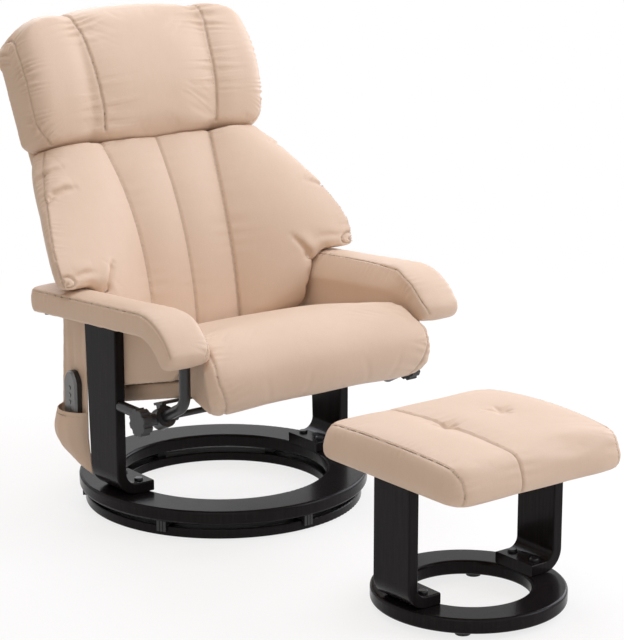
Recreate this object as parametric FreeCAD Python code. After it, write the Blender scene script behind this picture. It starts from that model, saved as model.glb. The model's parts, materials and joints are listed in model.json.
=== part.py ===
import FreeCAD, Part
import math
import os

# Reclining armchair on a two-ring swivel base, with a matching footstool.
# Millimetres. +Z is up, the origin is on the floor at the swivel axis and the chair faces -Y.

Vector = FreeCAD.Vector
os.makedirs("parts", exist_ok=True)

# Clearances
running_gap = 0.4
soft_gap = 0.4
pin_fit = 0.05
hole_gap = 0.2

# Swivel base
ring_width = 84.0
ring_thickness = 28.0
ring_edge_round = 6.0
ring_gap = 12.0
floor_ring_setback = 12.0
floor_ring_width = 72.0
floor_ring_thickness = 20.0
floor_ring_edge_round = 3.0
floor_glide_height = 4.0
floor_glide_radius = 15.0
floor_glide_count = 6

# Guide blocks between the rings and the steel race that they hold
block_count = 6
block_width = 20.0
block_length = 36.0
block_floor = 1.6
apron_thickness = 6.0
apron_lap = 10.0
apron_rib_count = 3
apron_rib_depth = 1.5
race_plate_width = 24.0
race_plate_thickness = 2.0
race_stem_width = 3.0
race_foot_width = 9.0
race_foot_thickness = 2.5

# Bent uprights of the chair
upright_thickness = 22.0
upright_setback = 8.0
upright_foot_overhang = 10.0
upright_bend_radius = 48.0
upright_front_y = -50.0
upright_foot_rear_y = 48.0
upright_head_rear_y = 67.0
board_edge_round = 3.0

# Bolts that hold the bent boards down
bolt_radius = 4.0
bolt_head_radius = 9.0
bolt_head_height = 5.0
bolt_tip_distance = 24.0
bolt_side_distance = 20.0
bolt_bite = 18.0

# Arms
arm_seat_gap = 4.0
arm_width = 98.0
arm_thickness = 49.0
arm_crown = 4.0
arm_rear_y = 160.0
arm_bend_y = -225.0
arm_bend_height = 361.0
arm_bend_radius = 80.0
arm_bend_sweep = 63.0
arm_slope = 4.0
arm_edge_softness = 9.0
arm_board_thickness = 14.0
arm_board_inset = 12.0
arm_bolt_edge_distance = 26.0
arm_bolt_rear_distance = 24.0

# Side panels between the arms and the seat
panel_setback = 3.0
panel_thickness = 13.0
panel_rear_y = 178.0
panel_front_place = -125.0
panel_low_place = 136.0
panel_lap = 36.0
panel_rear_drop = 31.0
panel_nose_y = -290.0
panel_nose_rise = 25.0
panel_bolt_radius = 4.0
panel_bolt_head_radius = 8.0
panel_bolt_head_height = 4.0
panel_bolt_bite = 14.0
panel_bolt_rise = -22.0
panel_bolt_edge_distance = 24.0

# Glide tubes that carry the seat
tube_radius = 11.0
tube_front_y = -278.0
tube_slope = 28.0
tube_drop = 107.0
tube_knee_y = -179.0
tube_bend_radius = 40.0
tube_spigot_radius = 7.0
tube_spigot_length = 26.0

# Seat
seat_tilt = 15.0
seat_reference_y = -75.0
seat_rise = 20.0
seat_half_width = 250.0
seat_rear = 142.0
seat_flat_front = -170.0
seat_front = -266.0
seat_front_height = -78.0
seat_lip = -205.0
seat_lip_height = -152.0
seat_crown = 9.0
seat_lip_crown = 20.0
seat_side_crown = 4.0
seat_edge_softness = 20.0
seat_base_setback = 12.0
seat_base_front = -148.0
seat_base_rear = 134.0
seat_base_top = -80.0
seat_base_bottom = -113.0
seat_base_wall = 14.0
seat_base_floor = 4.0
seat_base_corner = 10.0
webbing_thickness = 2.0
webbing_width = 54.0
webbing_count = 4

# Massage motors and controller
motor_radius = 32.0
motor_height = 18.0
motor_flange_radius = 40.0
motor_flange_height = 3.0
seat_motor_x = 90.0
control_box_width = 110.0
control_box_depth = 70.0
control_box_height = 30.0
control_box_centre = 62.0
control_box_corner = 6.0
inlet_radius = 7.0
inlet_bore_radius = 3.2
inlet_length = 9.0

# Seat hangers, slide bushes and clamp knobs
bush_length = 26.0
bush_wall = 4.0
bush_rest_margin = 3.0
hanger_eye_wall = 6.0
hanger_plate_thickness = 5.0
hanger_plate_width = 30.0
hanger_plate_inboard = 150.0
hanger_leg_width = 14.0
stud_radius = 5.0
stud_boss_radius = 12.0
stud_boss_length = 14.0
knob_radius = 27.5
knob_thickness = 20.0
knob_lobe_count = 8
knob_lobe_radius = 6.0
knob_hub_radius = 13.0
knob_hub_length = 5.0
knob_edge_round = 3.0
cross_rod_radius = 6.0
cross_rod_nut_radius = 10.0
cross_rod_nut_length = 9.0

# Backrest: its own frame leans back, with heights along the lean and depths in front of the shell
lean = 25.3
back_reference_y = 170.0
back_rise = 84.0
shell_foot = -135.0
shell_top = 517.0
shell_corner = 30.0
shell_setback = 12.0
shell_flare = 25.0
shell_side_depth = 22.0
shell_crown = 24.0
shell_wall = 14.0
frame_tube_radius = 7.5
frame_inset = 28.0
frame_foot = -110.0
frame_top = 476.0
frame_corner_radius = 50.0
frame_cross_height = 210.0
frame_depth = 9.5
back_strap_heights = (2.0, 110.0, 335.0)
back_motor_x = 82.0

# Back cushion, wings and headrest
cushion_seat_depth = 2.0
cushion_foot = -128.0
cushion_top = 284.0
lumbar_depth = 82.0
lumbar_height = 130.0
lumbar_foot_depth = 34.0
channel_foot_half_width = 106.0
channel_head_half_width = 134.0
channel_crown = 9.0
channel_seam_sink = 6.0
wing_overlap = 3.0
wing_tip_height = -30.0
wing_tip_depth = 168.0
wing_foot_inset = 12.0
wing_foot_depth = 62.0
wing_head_inset = 27.0
wing_head_depth = 60.0
wing_crown = 20.0
wing_side_crown = 12.0
wing_arm_gap = 6.8
wing_side_gap = 8.0
headrest_foot = 288.0
headrest_side_overhang = 26.0
headrest_seam_x = 152.0
headrest_brow = 548.0
headrest_foot_depth = 80.0
headrest_brow_depth = 100.0
headrest_crown = 24.0
headrest_foot_crown = 10.0
headrest_top_crown = 26.0
headrest_end_crown = 4.0
headrest_corner = 90.0
headrest_corner_fall = 0.8
headrest_overhang = 26.0
headrest_overhang_thickness = 7.0
headrest_seam_sink = 9.0
headrest_puff_width = 60.0
headrest_edge_softness = 45.0

# Back pivots and the hinge between back and seat
pivot_height = -55.0
pivot_radius = 6.0
pivot_boss_radius = 11.0
pivot_boss_setback = 2.0
pivot_pin_bite = 10.0
pivot_head_radius = 11.0
pivot_head_length = 5.0
hinge_radius = 104.8
hinge_angle = 15.5
hinge_x = 150.0
hinge_pin_radius = 5.0
hinge_lug_thickness = 8.0
hinge_lug_radius = 15.0
hinge_lug_play = 4.5
hinge_ear_thickness = 5.0
hinge_ear_radius = 11.0
hinge_side_gap = 1.5

# Side pocket and handset
pocket_front_y = 72.0
pocket_rear_y = 170.0
pocket_panel_offset = 11.0
pocket_panel_thickness = 3.0
pocket_mouth_share = 0.498
pocket_mouth_depth = 32.0
pocket_belly_share = 0.316
pocket_belly_depth = 36.0
pocket_low_front_share = 0.067
pocket_low_rear_share = 0.215
pocket_low_depth = 9.0
pocket_low_taper = 12.0
pocket_wall = 3.0
handset_width = 44.0
handset_length = 142.0
handset_foot_share = 0.29
handset_centre_y = 113.0
handset_shoulder = 24.0
handset_crest = 16.0
handset_back_thickness = 11.0
handset_face_thickness = 5.0
handset_wall = 2.0
handset_gap = 0.3
handset_corner = 5.0
button_radius = 4.5
button_proud = 1.4
button_depth = 3.0
button_gap = 0.35
button_first_drop = 34.0
button_pitch = 15.0
button_names = ("power", "mode", "intensity", "back", "seat")
board_thickness = 1.6

# Footstool
stool_centre_y = -775.0
stool_ring_outer_radius = 180.0
stool_ring_width = 66.0
stool_glide_height = 11.0
stool_glide_radius = 14.0
stool_glide_count = 4
stool_leg_overhang = 4.0
stool_leg_foot_reach = 70.0
stool_leg_half_width = 50.0
stool_leg_bend_radius = 42.0
stool_cushion_bottom = 268.0
stool_cushion_edge = 341.0
stool_cushion_half_width = 206.0
stool_cushion_half_depth = 187.0
stool_cushion_crown = 10.0
stool_edge_round = 28.0
stool_side_crown = 9.0
stool_corner = 40.0
stool_seam_x = -57.0
stool_seam_sink = 5.0
stool_puff_width = 50.0
stool_tuft_x = 70.0
stool_tuft_radius = 34.0
stool_tuft_sink = 6.0
stool_board_thickness = 12.0
stool_board_inset = 26.0

# Places that follow from the sizes
X_AXIS = Vector(1, 0, 0)
Y_AXIS = Vector(0, 1, 0)
Z_AXIS = Vector(0, 0, 1)
ORIGIN = Vector(0, 0, 0)
arm_inner_face = seat_half_width + arm_seat_gap
arm_outer_face = arm_inner_face + arm_width
arm_bolt_x = arm_outer_face - arm_bolt_edge_distance
panel_inner_face = arm_inner_face + panel_setback
upright_inner_face = panel_inner_face + panel_thickness
upright_outer_face = upright_inner_face + upright_thickness
ring_outer_radius = upright_outer_face + upright_setback
seat_base_half_width = seat_half_width - seat_base_setback
shell_foot_half_width = seat_half_width - shell_setback
shell_head_half_width = shell_foot_half_width + shell_flare
frame_half_width = shell_foot_half_width - frame_inset
pivot_boss_face = shell_foot_half_width - pivot_boss_setback
wing_tip_x = arm_outer_face + wing_overlap
wing_foot_x = shell_foot_half_width - wing_foot_inset
wing_head_x = shell_head_half_width - wing_head_inset
headrest_half_width = shell_head_half_width + headrest_side_overhang
floor_ring_top = floor_glide_height + floor_ring_thickness
ring_bottom = floor_ring_top + ring_gap
ring_top = ring_bottom + ring_thickness
floor_ring_outer_radius = ring_outer_radius - floor_ring_setback
race_radius = floor_ring_outer_radius - floor_ring_width / 2
upright_foot_tip = ring_outer_radius - ring_width - upright_foot_overhang
tube_x = upright_outer_face - upright_thickness / 2
arm_bend_centre = Vector(0, arm_bend_y, arm_bend_height)
seat_reference = Vector(0, seat_reference_y, arm_bend_height + seat_rise)
back_reference = Vector(0, back_reference_y, arm_bend_height + back_rise)
tube_run_height = arm_bend_height - tube_drop
panel_bolt_height = arm_bend_height + panel_bolt_rise
pocket_panel_x = -upright_inner_face - pocket_panel_offset
pocket_space = arm_bend_height - ring_top
pocket_mouth_height = ring_top + pocket_space * pocket_mouth_share
pocket_belly_height = ring_top + pocket_space * pocket_belly_share
pocket_low_front_height = ring_top + pocket_space * pocket_low_front_share
pocket_low_rear_height = ring_top + pocket_space * pocket_low_rear_share
handset_foot_height = ring_top + pocket_space * handset_foot_share
seat_cushion_bottom = seat_base_top + webbing_thickness + soft_gap
stool_leg_outer_face = stool_ring_outer_radius + stool_leg_overhang
stool_leg_foot_tip = stool_ring_outer_radius - stool_leg_foot_reach
stool_leg_top = stool_cushion_bottom
stool_ring_bottom = stool_glide_height


# Drawing helpers
def line(start, end):
    return Part.LineSegment(start, end).toShape()


def arc(start, via, end):
    return Part.Arc(start, via, end).toShape()


def outline(points, bulges, normal):
    """Closed wire, anticlockwise about normal; a bulge swells its side outwards into an arc."""
    edges = []
    for start, end, bulge in zip(points, points[1:] + points[:1], bulges):
        if bulge == 0:
            edges.append(line(start, end))
            continue
        outward = (end - start).cross(normal).normalize()
        edges.append(arc(start, (start + end) * 0.5 + outward * bulge, end))
    return Part.Wire(edges)


def loft(wires):
    return Part.makeLoft(wires, True, False)


def edge_draw(distance, softness):
    """How far a soft edge is drawn in at a distance from its end, as a quarter round."""
    away = max(1.0 - distance / softness, 0.0)
    return softness * (1.0 - math.sqrt(1.0 - away ** 2))


def soft_stations(half_width, softness):
    """Places of the sections across a soft piece, close together at its rounded ends."""
    inner = half_width - softness
    side = [half_width - softness * step for step in (0.0, 0.08, 0.3, 0.6)]
    side = side + [inner, inner * 0.5]
    return [-place for place in side] + [0.0] + side[::-1]


def prism(wire, sweep):
    return Part.Face(wire).extrude(sweep)


def box_between(low, high):
    size = high - low
    return Part.makeBox(size.x, size.y, size.z, low)


def rod(radius, start, end):
    return Part.makeCylinder(radius, (end - start).Length, start, end - start)


def tube_ring(outer, inner, start, end):
    return rod(outer, start, end).cut(rod(inner, start, end))


def mirrored(shape):
    return shape.mirror(ORIGIN, X_AXIS)


def both_sides(shape):
    return Part.makeCompound([shape, mirrored(shape)])


def around_z(shape, count, first_angle):
    copies = []
    for index in range(count):
        copy = shape.copy()
        copy.rotate(ORIGIN, Z_AXIS, first_angle + index * 360.0 / count)
        copies.append(copy)
    return Part.makeCompound(copies)


def bent_path(points, radius):
    """Straight runs joined by tangent arcs of one radius."""
    edges = []
    start = points[0]
    for before, corner, after in zip(points, points[1:], points[2:]):
        inward = (before - corner).normalize()
        onward = (after - corner).normalize()
        half_turn = (math.pi - inward.getAngle(onward)) / 2
        reach = radius * math.tan(half_turn)
        bend_start = corner + inward * reach
        bend_end = corner + onward * reach
        middle = (inward + onward).normalize()
        crown = corner + middle * (radius / math.cos(half_turn) - radius)
        edges.append(line(start, bend_start))
        edges.append(arc(bend_start, crown, bend_end))
        start = bend_end
    edges.append(line(start, points[-1]))
    return Part.Wire(edges)


def bent_tube(points, bend_radius, radius):
    path = bent_path(points, bend_radius)
    section = Part.Wire(Part.Circle(points[0], points[1] - points[0], radius).toShape())
    return path.makePipeShell([section], True, False)


def in_seat(shape):
    placed = shape.copy()
    placed.rotate(ORIGIN, X_AXIS, -seat_tilt)
    placed.translate(seat_reference)
    return placed


def to_seat(place):
    return FreeCAD.Rotation(X_AXIS, seat_tilt).multVec(place - seat_reference)


def from_seat(place):
    return FreeCAD.Rotation(X_AXIS, -seat_tilt).multVec(place) + seat_reference


def in_back(shape):
    placed = shape.copy()
    placed.rotate(ORIGIN, X_AXIS, -lean)
    placed.translate(back_reference)
    return placed


def from_back(place):
    return FreeCAD.Rotation(X_AXIS, -lean).multVec(place) + back_reference


def to_back(place):
    return FreeCAD.Rotation(X_AXIS, lean).multVec(place - back_reference)


def export(name, shape):
    shape.exportStep("parts/" + name + ".step")


# Rings and boards
def flat_ring(outer, width, bottom, thickness, edge_round):
    start = Vector(0, 0, bottom)
    ring = tube_ring(outer, outer - width, start, start + Z_AXIS * thickness)
    rims = [edge for edge in ring.Edges if edge.Closed]
    return ring.makeFillet(edge_round, rims)


def bent_board(outer_face, foot_tip, bottom, top, bend_radius, side_wire):
    """J-shaped bentwood board: a foot that points inwards, a bend and an upright."""
    thickness = upright_thickness
    bend_x = outer_face - bend_radius
    bend_z = bottom + bend_radius
    inner_face = outer_face - thickness
    diagonal = math.sqrt(0.5)
    outer_mid = Vector(bend_x + bend_radius * diagonal, 0, bend_z - bend_radius * diagonal)
    inner_radius = bend_radius - thickness
    inner_mid = Vector(bend_x + inner_radius * diagonal, 0, bend_z - inner_radius * diagonal)
    edges = [
        line(Vector(foot_tip, 0, bottom), Vector(bend_x, 0, bottom)),
        arc(Vector(bend_x, 0, bottom), outer_mid, Vector(outer_face, 0, bend_z)),
        line(Vector(outer_face, 0, bend_z), Vector(outer_face, 0, top)),
        line(Vector(outer_face, 0, top), Vector(inner_face, 0, top)),
        line(Vector(inner_face, 0, top), Vector(inner_face, 0, bend_z)),
        arc(Vector(inner_face, 0, bend_z), inner_mid, Vector(bend_x, 0, bottom + thickness)),
        line(Vector(bend_x, 0, bottom + thickness), Vector(foot_tip, 0, bottom + thickness)),
        line(Vector(foot_tip, 0, bottom + thickness), Vector(foot_tip, 0, bottom)),
    ]
    reach = outer_face
    profile = Part.Wire(edges)
    profile.translate(Y_AXIS * -reach)
    board = prism(profile, Y_AXIS * 2 * reach)
    sides = prism(side_wire, X_AXIS * 2 * reach)
    return board.common(sides)


def soften_long_edges(board, low, high):
    """Round the long edges of a bent board that run up its sides."""
    chosen = []
    for edge in board.Edges:
        middle = edge.CenterOfMass
        on_side = abs(edge.tangentAt(edge.FirstParameter).y) < 0.5
        if on_side and low < middle.z < high and edge.Length > upright_thickness * 1.5:
            chosen.append(edge)
    return board.makeFillet(board_edge_round, chosen)


def foot_bolt(x, y, foot_top):
    head_top = foot_top + bolt_head_height
    head = rod(bolt_head_radius, Vector(x, y, foot_top), Vector(x, y, head_top))
    rim = [edge for edge in head.Edges if edge.Closed and edge.CenterOfMass.z > head_top - 0.1]
    head = head.makeFillet(bolt_head_height * 0.5, rim)
    shank_end = foot_top - upright_thickness - bolt_bite
    return head.fuse(rod(bolt_radius, Vector(x, y, shank_end), Vector(x, y, foot_top)))


def bolt_hole(x, y, foot_top):
    shank_end = foot_top - upright_thickness - bolt_bite
    return rod(bolt_radius + hole_gap, Vector(x, y, shank_end), Vector(x, y, foot_top))


# Floor ring, its glides, the guide blocks and the race
floor_ring = flat_ring(
    floor_ring_outer_radius, floor_ring_width, floor_glide_height, floor_ring_thickness, floor_ring_edge_round
)
glide_pad = rod(floor_glide_radius, Vector(race_radius, 0, 0), Vector(race_radius, 0, floor_glide_height))
floor_glides = around_z(glide_pad, floor_glide_count, -60.0)

race_plate_bottom = ring_bottom - race_plate_thickness
race_foot_bottom = floor_ring_top + block_floor + running_gap
race_foot_top = race_foot_bottom + race_foot_thickness


def race_body(play):
    """T-section ring that hangs under the swivel ring; play widens it into the slot of the blocks."""
    def band(width, low, high):
        middle = race_radius + width / 2
        return tube_ring(middle, middle - width, Vector(0, 0, low), Vector(0, 0, high))

    stem = band(race_stem_width + 2 * play, race_foot_bottom, ring_bottom)
    foot = band(race_foot_width + 2 * play, race_foot_bottom - play, race_foot_top + play)
    return stem.fuse(foot)


race_middle = race_radius + race_plate_width / 2
race_plate = tube_ring(
    race_middle,
    race_middle - race_plate_width,
    Vector(0, 0, race_plate_bottom),
    Vector(0, 0, ring_bottom),
)
swivel_race = race_plate.fuse(race_body(0)).removeSplitter()


def guide_block():
    """Moulded block on the floor ring: a slotted body and a ribbed apron over the ring's edge."""
    inner = race_radius - block_length / 2
    outer = floor_ring_outer_radius + apron_thickness
    shelf = race_radius + race_plate_width / 2 + running_gap * 4
    half = block_width / 2
    low = floor_ring_top - apron_lap
    body = box_between(Vector(inner, -half, low), Vector(outer, half, race_plate_bottom - running_gap))
    cheek = box_between(Vector(shelf, -half, low), Vector(outer, half, ring_bottom - running_gap))
    block = body.fuse(cheek).cut(floor_ring)
    under_radius = floor_ring_outer_radius - floor_ring_edge_round
    under = rod(under_radius, ORIGIN, Z_AXIS * floor_ring_top)
    block = block.cut(under).cut(race_body(running_gap))
    groove_pitch = block_width / apron_rib_count
    for index in range(1, apron_rib_count):
        middle = -half + index * groove_pitch
        groove_low = Vector(outer - apron_rib_depth, middle - apron_rib_depth / 2, low)
        groove_high = Vector(outer, middle + apron_rib_depth / 2, ring_bottom)
        block = block.cut(box_between(groove_low, groove_high))
    return block.removeSplitter()


guide_blocks = around_z(guide_block(), block_count, -90.0)

export("floor_ring", floor_ring)
export("floor_glides", floor_glides)
export("guide_blocks", guide_blocks)
export("swivel_race", swivel_race)


# Arm shapes, drawn about the centre of the front bend and sloped with it
def arm_wire(x, inner_radius, outer_radius, rear, sweep, rear_bulge, nose_bulge):
    def around(radius, degrees):
        turn = math.radians(90.0 + degrees)
        return Vector(x, radius * math.cos(turn), radius * math.sin(turn))

    low_rear = Vector(x, rear, inner_radius)
    high_rear = Vector(x, rear, outer_radius)
    outer_end = around(outer_radius, sweep)
    inner_end = around(inner_radius, sweep)
    ends = outline([low_rear, high_rear], [rear_bulge, 0], X_AXIS).Edges[0]
    nose = outline([outer_end, inner_end], [nose_bulge, 0], X_AXIS).Edges[0]
    edges = [
        ends,
        line(high_rear, around(outer_radius, 0)),
        arc(around(outer_radius, 0), around(outer_radius, sweep / 2), outer_end),
        nose,
        arc(inner_end, around(inner_radius, sweep / 2), around(inner_radius, 0)),
        line(around(inner_radius, 0), low_rear),
    ]
    wire = Part.Wire(edges)
    wire.rotate(ORIGIN, X_AXIS, -arm_slope)
    wire.translate(arm_bend_centre)
    return wire


arm_reach = arm_rear_y - arm_bend_y
arm_outer_radius = arm_bend_radius + arm_thickness


def arm_section(x, drawn_in):
    lift = max(drawn_in, 0.0) * 0.5
    return arm_wire(
        x,
        arm_bend_radius + lift,
        arm_outer_radius - drawn_in,
        arm_reach - drawn_in * 0.6,
        arm_bend_sweep - math.degrees(drawn_in / arm_outer_radius) * 0.7,
        arm_thickness * 0.14,
        arm_thickness * 0.4,
    )


arm_middle_x = arm_outer_face - arm_width / 2
arm_sections = []
for offset in soft_stations(arm_width / 2, arm_edge_softness):
    drawn_in = edge_draw(arm_width / 2 - abs(offset), arm_edge_softness)
    crown = arm_crown * (1 - (2 * offset / arm_width) ** 2)
    arm_sections.append(arm_section(arm_middle_x + offset, drawn_in - crown))
arm_board_wire = arm_wire(
    arm_inner_face + arm_board_inset,
    arm_bend_radius,
    arm_bend_radius + arm_board_thickness,
    arm_reach - arm_board_inset,
    arm_bend_sweep - math.degrees(arm_board_inset / arm_bend_radius),
    0,
    0,
)
arm_board_solid = prism(arm_board_wire, X_AXIS * (arm_width - 2 * arm_board_inset))
under_arm = prism(
    arm_wire(0, arm_bend_radius, arm_bend_radius + ring_outer_radius, ring_outer_radius * 2, 90.0, 0, 0),
    X_AXIS * arm_outer_face,
)
arm_solid = loft(arm_sections).common(under_arm)
arm_bolt_place = Vector(arm_bolt_x, arm_reach - arm_bolt_rear_distance, arm_bend_radius)


def in_arm(shape):
    placed = shape.copy()
    placed.rotate(ORIGIN, X_AXIS, -arm_slope)
    placed.translate(arm_bend_centre)
    return placed


arm_bolt = rod(bolt_head_radius, arm_bolt_place - Z_AXIS * bolt_head_height, arm_bolt_place)
arm_bolt_bite = arm_board_thickness * 0.8
arm_bolt = in_arm(arm_bolt.fuse(rod(bolt_radius, arm_bolt_place, arm_bolt_place + Z_AXIS * arm_bolt_bite)))
arm_board_hole = in_arm(rod(bolt_radius + hole_gap, arm_bolt_place, arm_bolt_place + Z_AXIS * arm_bolt_bite))
arm_board = arm_board_solid.cut(arm_board_hole)
arm_pad = arm_solid.cut(arm_board_solid)

# Chair uprights on the swivel ring
upright_top = arm_bend_height + arm_outer_radius
upright_side = outline(
    [
        Vector(0, upright_front_y, ring_top),
        Vector(0, upright_foot_rear_y, ring_top),
        Vector(0, upright_head_rear_y, upright_top),
        Vector(0, upright_front_y, upright_top),
    ],
    [0, 0, 0, 0],
    X_AXIS,
)
upright = bent_board(
    upright_outer_face, upright_foot_tip, ring_top, upright_top, upright_bend_radius, upright_side
).cut(under_arm)
upright = soften_long_edges(upright, ring_top, upright_top)
swivel_ring = flat_ring(ring_outer_radius, ring_width, ring_bottom, ring_thickness, ring_edge_round)
upright_foot_top = ring_top + upright_thickness
upright_bolt_x = upright_foot_tip + bolt_tip_distance
upright_bolts = []
for bolt_y in (upright_front_y + bolt_side_distance, upright_foot_rear_y - bolt_side_distance):
    hole = bolt_hole(upright_bolt_x, bolt_y, upright_foot_top)
    upright = upright.cut(hole)
    swivel_ring = swivel_ring.cut(hole).cut(mirrored(hole))
    upright_bolts.append(foot_bolt(upright_bolt_x, bolt_y, upright_foot_top))

# Side panels bolted to the uprights
panel_top = upright_top
panel_low_edge = seat_base_bottom + panel_lap
panel_corner = from_seat(Vector(panel_inner_face, panel_front_place, panel_low_edge))
panel_low = from_seat(Vector(panel_inner_face, panel_low_place, panel_low_edge))
panel_wire = outline(
    [
        Vector(panel_inner_face, panel_nose_y, arm_bend_height + panel_nose_rise),
        panel_corner,
        panel_low,
        Vector(panel_inner_face, panel_rear_y, arm_bend_height - panel_rear_drop),
        Vector(panel_inner_face, panel_rear_y, panel_top),
        Vector(panel_inner_face, panel_nose_y, panel_top),
    ],
    [(panel_corner.y - panel_nose_y) * -0.08, 0, 0, 0, 0, 0],
    X_AXIS,
)
side_panel = prism(panel_wire, X_AXIS * panel_thickness).cut(under_arm)
panel_bolts = []
for bolt_y in (upright_front_y + panel_bolt_edge_distance, upright_foot_rear_y - panel_bolt_edge_distance):
    seat_face = Vector(panel_inner_face, bolt_y, panel_bolt_height)
    head_end = seat_face + X_AXIS * panel_bolt_head_height
    shank_end = Vector(upright_inner_face + panel_bolt_bite, bolt_y, panel_bolt_height)
    panel_bolt = rod(panel_bolt_head_radius, seat_face, head_end)
    panel_bolt = panel_bolt.fuse(rod(panel_bolt_radius, head_end, shank_end))
    panel_bolts.append(panel_bolt)
    side_panel = side_panel.cut(rod(panel_bolt_head_radius + hole_gap, seat_face, head_end))
    side_panel = side_panel.cut(rod(panel_bolt_radius + hole_gap, head_end, shank_end))
    upright = upright.cut(rod(panel_bolt_radius + hole_gap, head_end, shank_end))

# Glide tubes from the arm's nose down, back along the slope and into the upright's edge
tube_rise = math.tan(math.radians(tube_slope)) * (tube_knee_y - tube_front_y)
tube_elbow = Vector(tube_x, tube_front_y, tube_run_height + tube_rise)
tube_knee = Vector(tube_x, tube_knee_y, tube_run_height)
tube_head = Vector(tube_x, tube_front_y, arm_bend_height + arm_bend_radius)
tube_end = Vector(tube_x, upright_front_y, tube_run_height)
glide_tube = bent_tube([tube_head, tube_elbow, tube_knee, tube_end], tube_bend_radius, tube_radius)
glide_tube = glide_tube.cut(under_arm)
spigot_end = tube_end + Y_AXIS * tube_spigot_length
glide_tube = glide_tube.fuse(rod(tube_spigot_radius, tube_end, spigot_end))
upright = upright.cut(rod(tube_spigot_radius + hole_gap, tube_end, spigot_end + Y_AXIS * hole_gap))

# Recline pivot pins in the side panels
pivot = from_back(Vector(0, frame_depth, pivot_height))
pivot_start = pivot + X_AXIS * (pivot_boss_face - pivot_pin_bite)
pivot_shoulder = pivot + X_AXIS * upright_inner_face
pivot_end = pivot_shoulder + X_AXIS * pivot_head_length
pivot_pin = rod(pivot_radius, pivot_start, pivot_shoulder)
pivot_pin = pivot_pin.fuse(rod(pivot_head_radius, pivot_shoulder, pivot_end))
side_panel = side_panel.cut(rod(pivot_radius + pin_fit, pivot_start, pivot_shoulder))

export("swivel_ring", swivel_ring)
export("upright_right", upright)
export("upright_left", mirrored(upright))
export("upright_bolts", both_sides(Part.makeCompound(upright_bolts)))
export("arm_pad_right", arm_pad)
export("arm_pad_left", mirrored(arm_pad))
export("arm_board_right", arm_board)
export("arm_board_left", mirrored(arm_board))
export("arm_bolts", both_sides(arm_bolt))
export("side_panel_right", side_panel)
export("side_panel_left", mirrored(side_panel))
export("panel_bolts", both_sides(Part.makeCompound(panel_bolts)))
export("glide_tube_right", glide_tube)
export("glide_tube_left", mirrored(glide_tube))
export("pivot_pins", both_sides(pivot_pin))


# Seat cushion: a crowned pad with a thick front roll, drawn in at its two sides
def seat_section(x, drawn_in):
    return outline(
        [
            Vector(x, seat_rear - drawn_in * 0.4, seat_cushion_bottom),
            Vector(x, seat_rear - drawn_in * 0.4, -drawn_in - seat_crown * 0.7),
            Vector(x, seat_flat_front, -drawn_in),
            Vector(x, seat_front + drawn_in * 1.4, seat_front_height),
            Vector(x, seat_lip + drawn_in * 0.4, seat_lip_height + drawn_in * 0.6),
            Vector(x, seat_base_front - soft_gap, seat_base_bottom),
            Vector(x, seat_base_front - soft_gap, seat_cushion_bottom),
        ],
        [seat_crown * 0.5, seat_crown, (seat_flat_front - seat_front) * 0.27, seat_lip_crown, 0, 0, 0],
        X_AXIS,
    )


seat_sections = []
for x in soft_stations(seat_half_width, seat_edge_softness):
    drawn_in = edge_draw(seat_half_width - abs(x), seat_edge_softness)
    crown = seat_side_crown * (1 - (x / seat_half_width) ** 2)
    seat_sections.append(seat_section(x, drawn_in - crown))
seat_cushion = in_seat(loft(seat_sections))

# Upholstered seat base with its webbing, motors and controller
base_low = Vector(-seat_base_half_width, seat_base_front, seat_base_bottom)
base_high = Vector(seat_base_half_width, seat_base_rear, seat_base_top)
seat_base = box_between(base_low, base_high)
uprights_of_base = [edge for edge in seat_base.Edges if abs(edge.tangentAt(0).z) > 0.9]
seat_base = seat_base.makeFillet(seat_base_corner, uprights_of_base)
wall = Vector(seat_base_wall, seat_base_wall, 0)
seat_base = seat_base.cut(box_between(base_low + wall + Z_AXIS * seat_base_floor, base_high - wall))

webbing_pitch = (seat_base_rear - seat_base_front - 2 * seat_base_wall) / webbing_count
seat_webbing = []
for index in range(webbing_count):
    middle = seat_base_front + seat_base_wall + (index + 0.5) * webbing_pitch
    strap_low = Vector(-seat_base_half_width + hole_gap, middle - webbing_width / 2, seat_base_top)
    strap_high = Vector(
        seat_base_half_width - hole_gap, middle + webbing_width / 2, seat_base_top + webbing_thickness
    )
    seat_webbing.append(box_between(strap_low, strap_high))
motor_strap = seat_base_front + seat_base_wall + 1.5 * webbing_pitch


def motor_pod(mount, down):
    """Sealed vibration motor: a flange on the strap and a round pod behind it."""
    flange = rod(motor_flange_radius, mount, mount + down * motor_flange_height)
    pod = rod(motor_radius, mount, mount + down * (motor_flange_height + motor_height))
    return flange.fuse(pod)


seat_motor = motor_pod(Vector(seat_motor_x, motor_strap, seat_base_top), Z_AXIS * -1)
box_half = Vector(control_box_width / 2, control_box_depth / 2, 0)
box_middle = Vector(0, control_box_centre, seat_base_bottom)
control_box = box_between(box_middle - box_half - Z_AXIS * control_box_height, box_middle + box_half)
box_corners = [edge for edge in control_box.Edges if abs(edge.tangentAt(0).z) > 0.9]
control_box = control_box.makeFillet(control_box_corner, box_corners)
inlet_start = box_middle + Vector(0, control_box_depth / 2, -control_box_height / 2)
inlet_end = inlet_start + Y_AXIS * inlet_length
power_inlet = tube_ring(inlet_radius, inlet_bore_radius, inlet_start, inlet_end)

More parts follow.
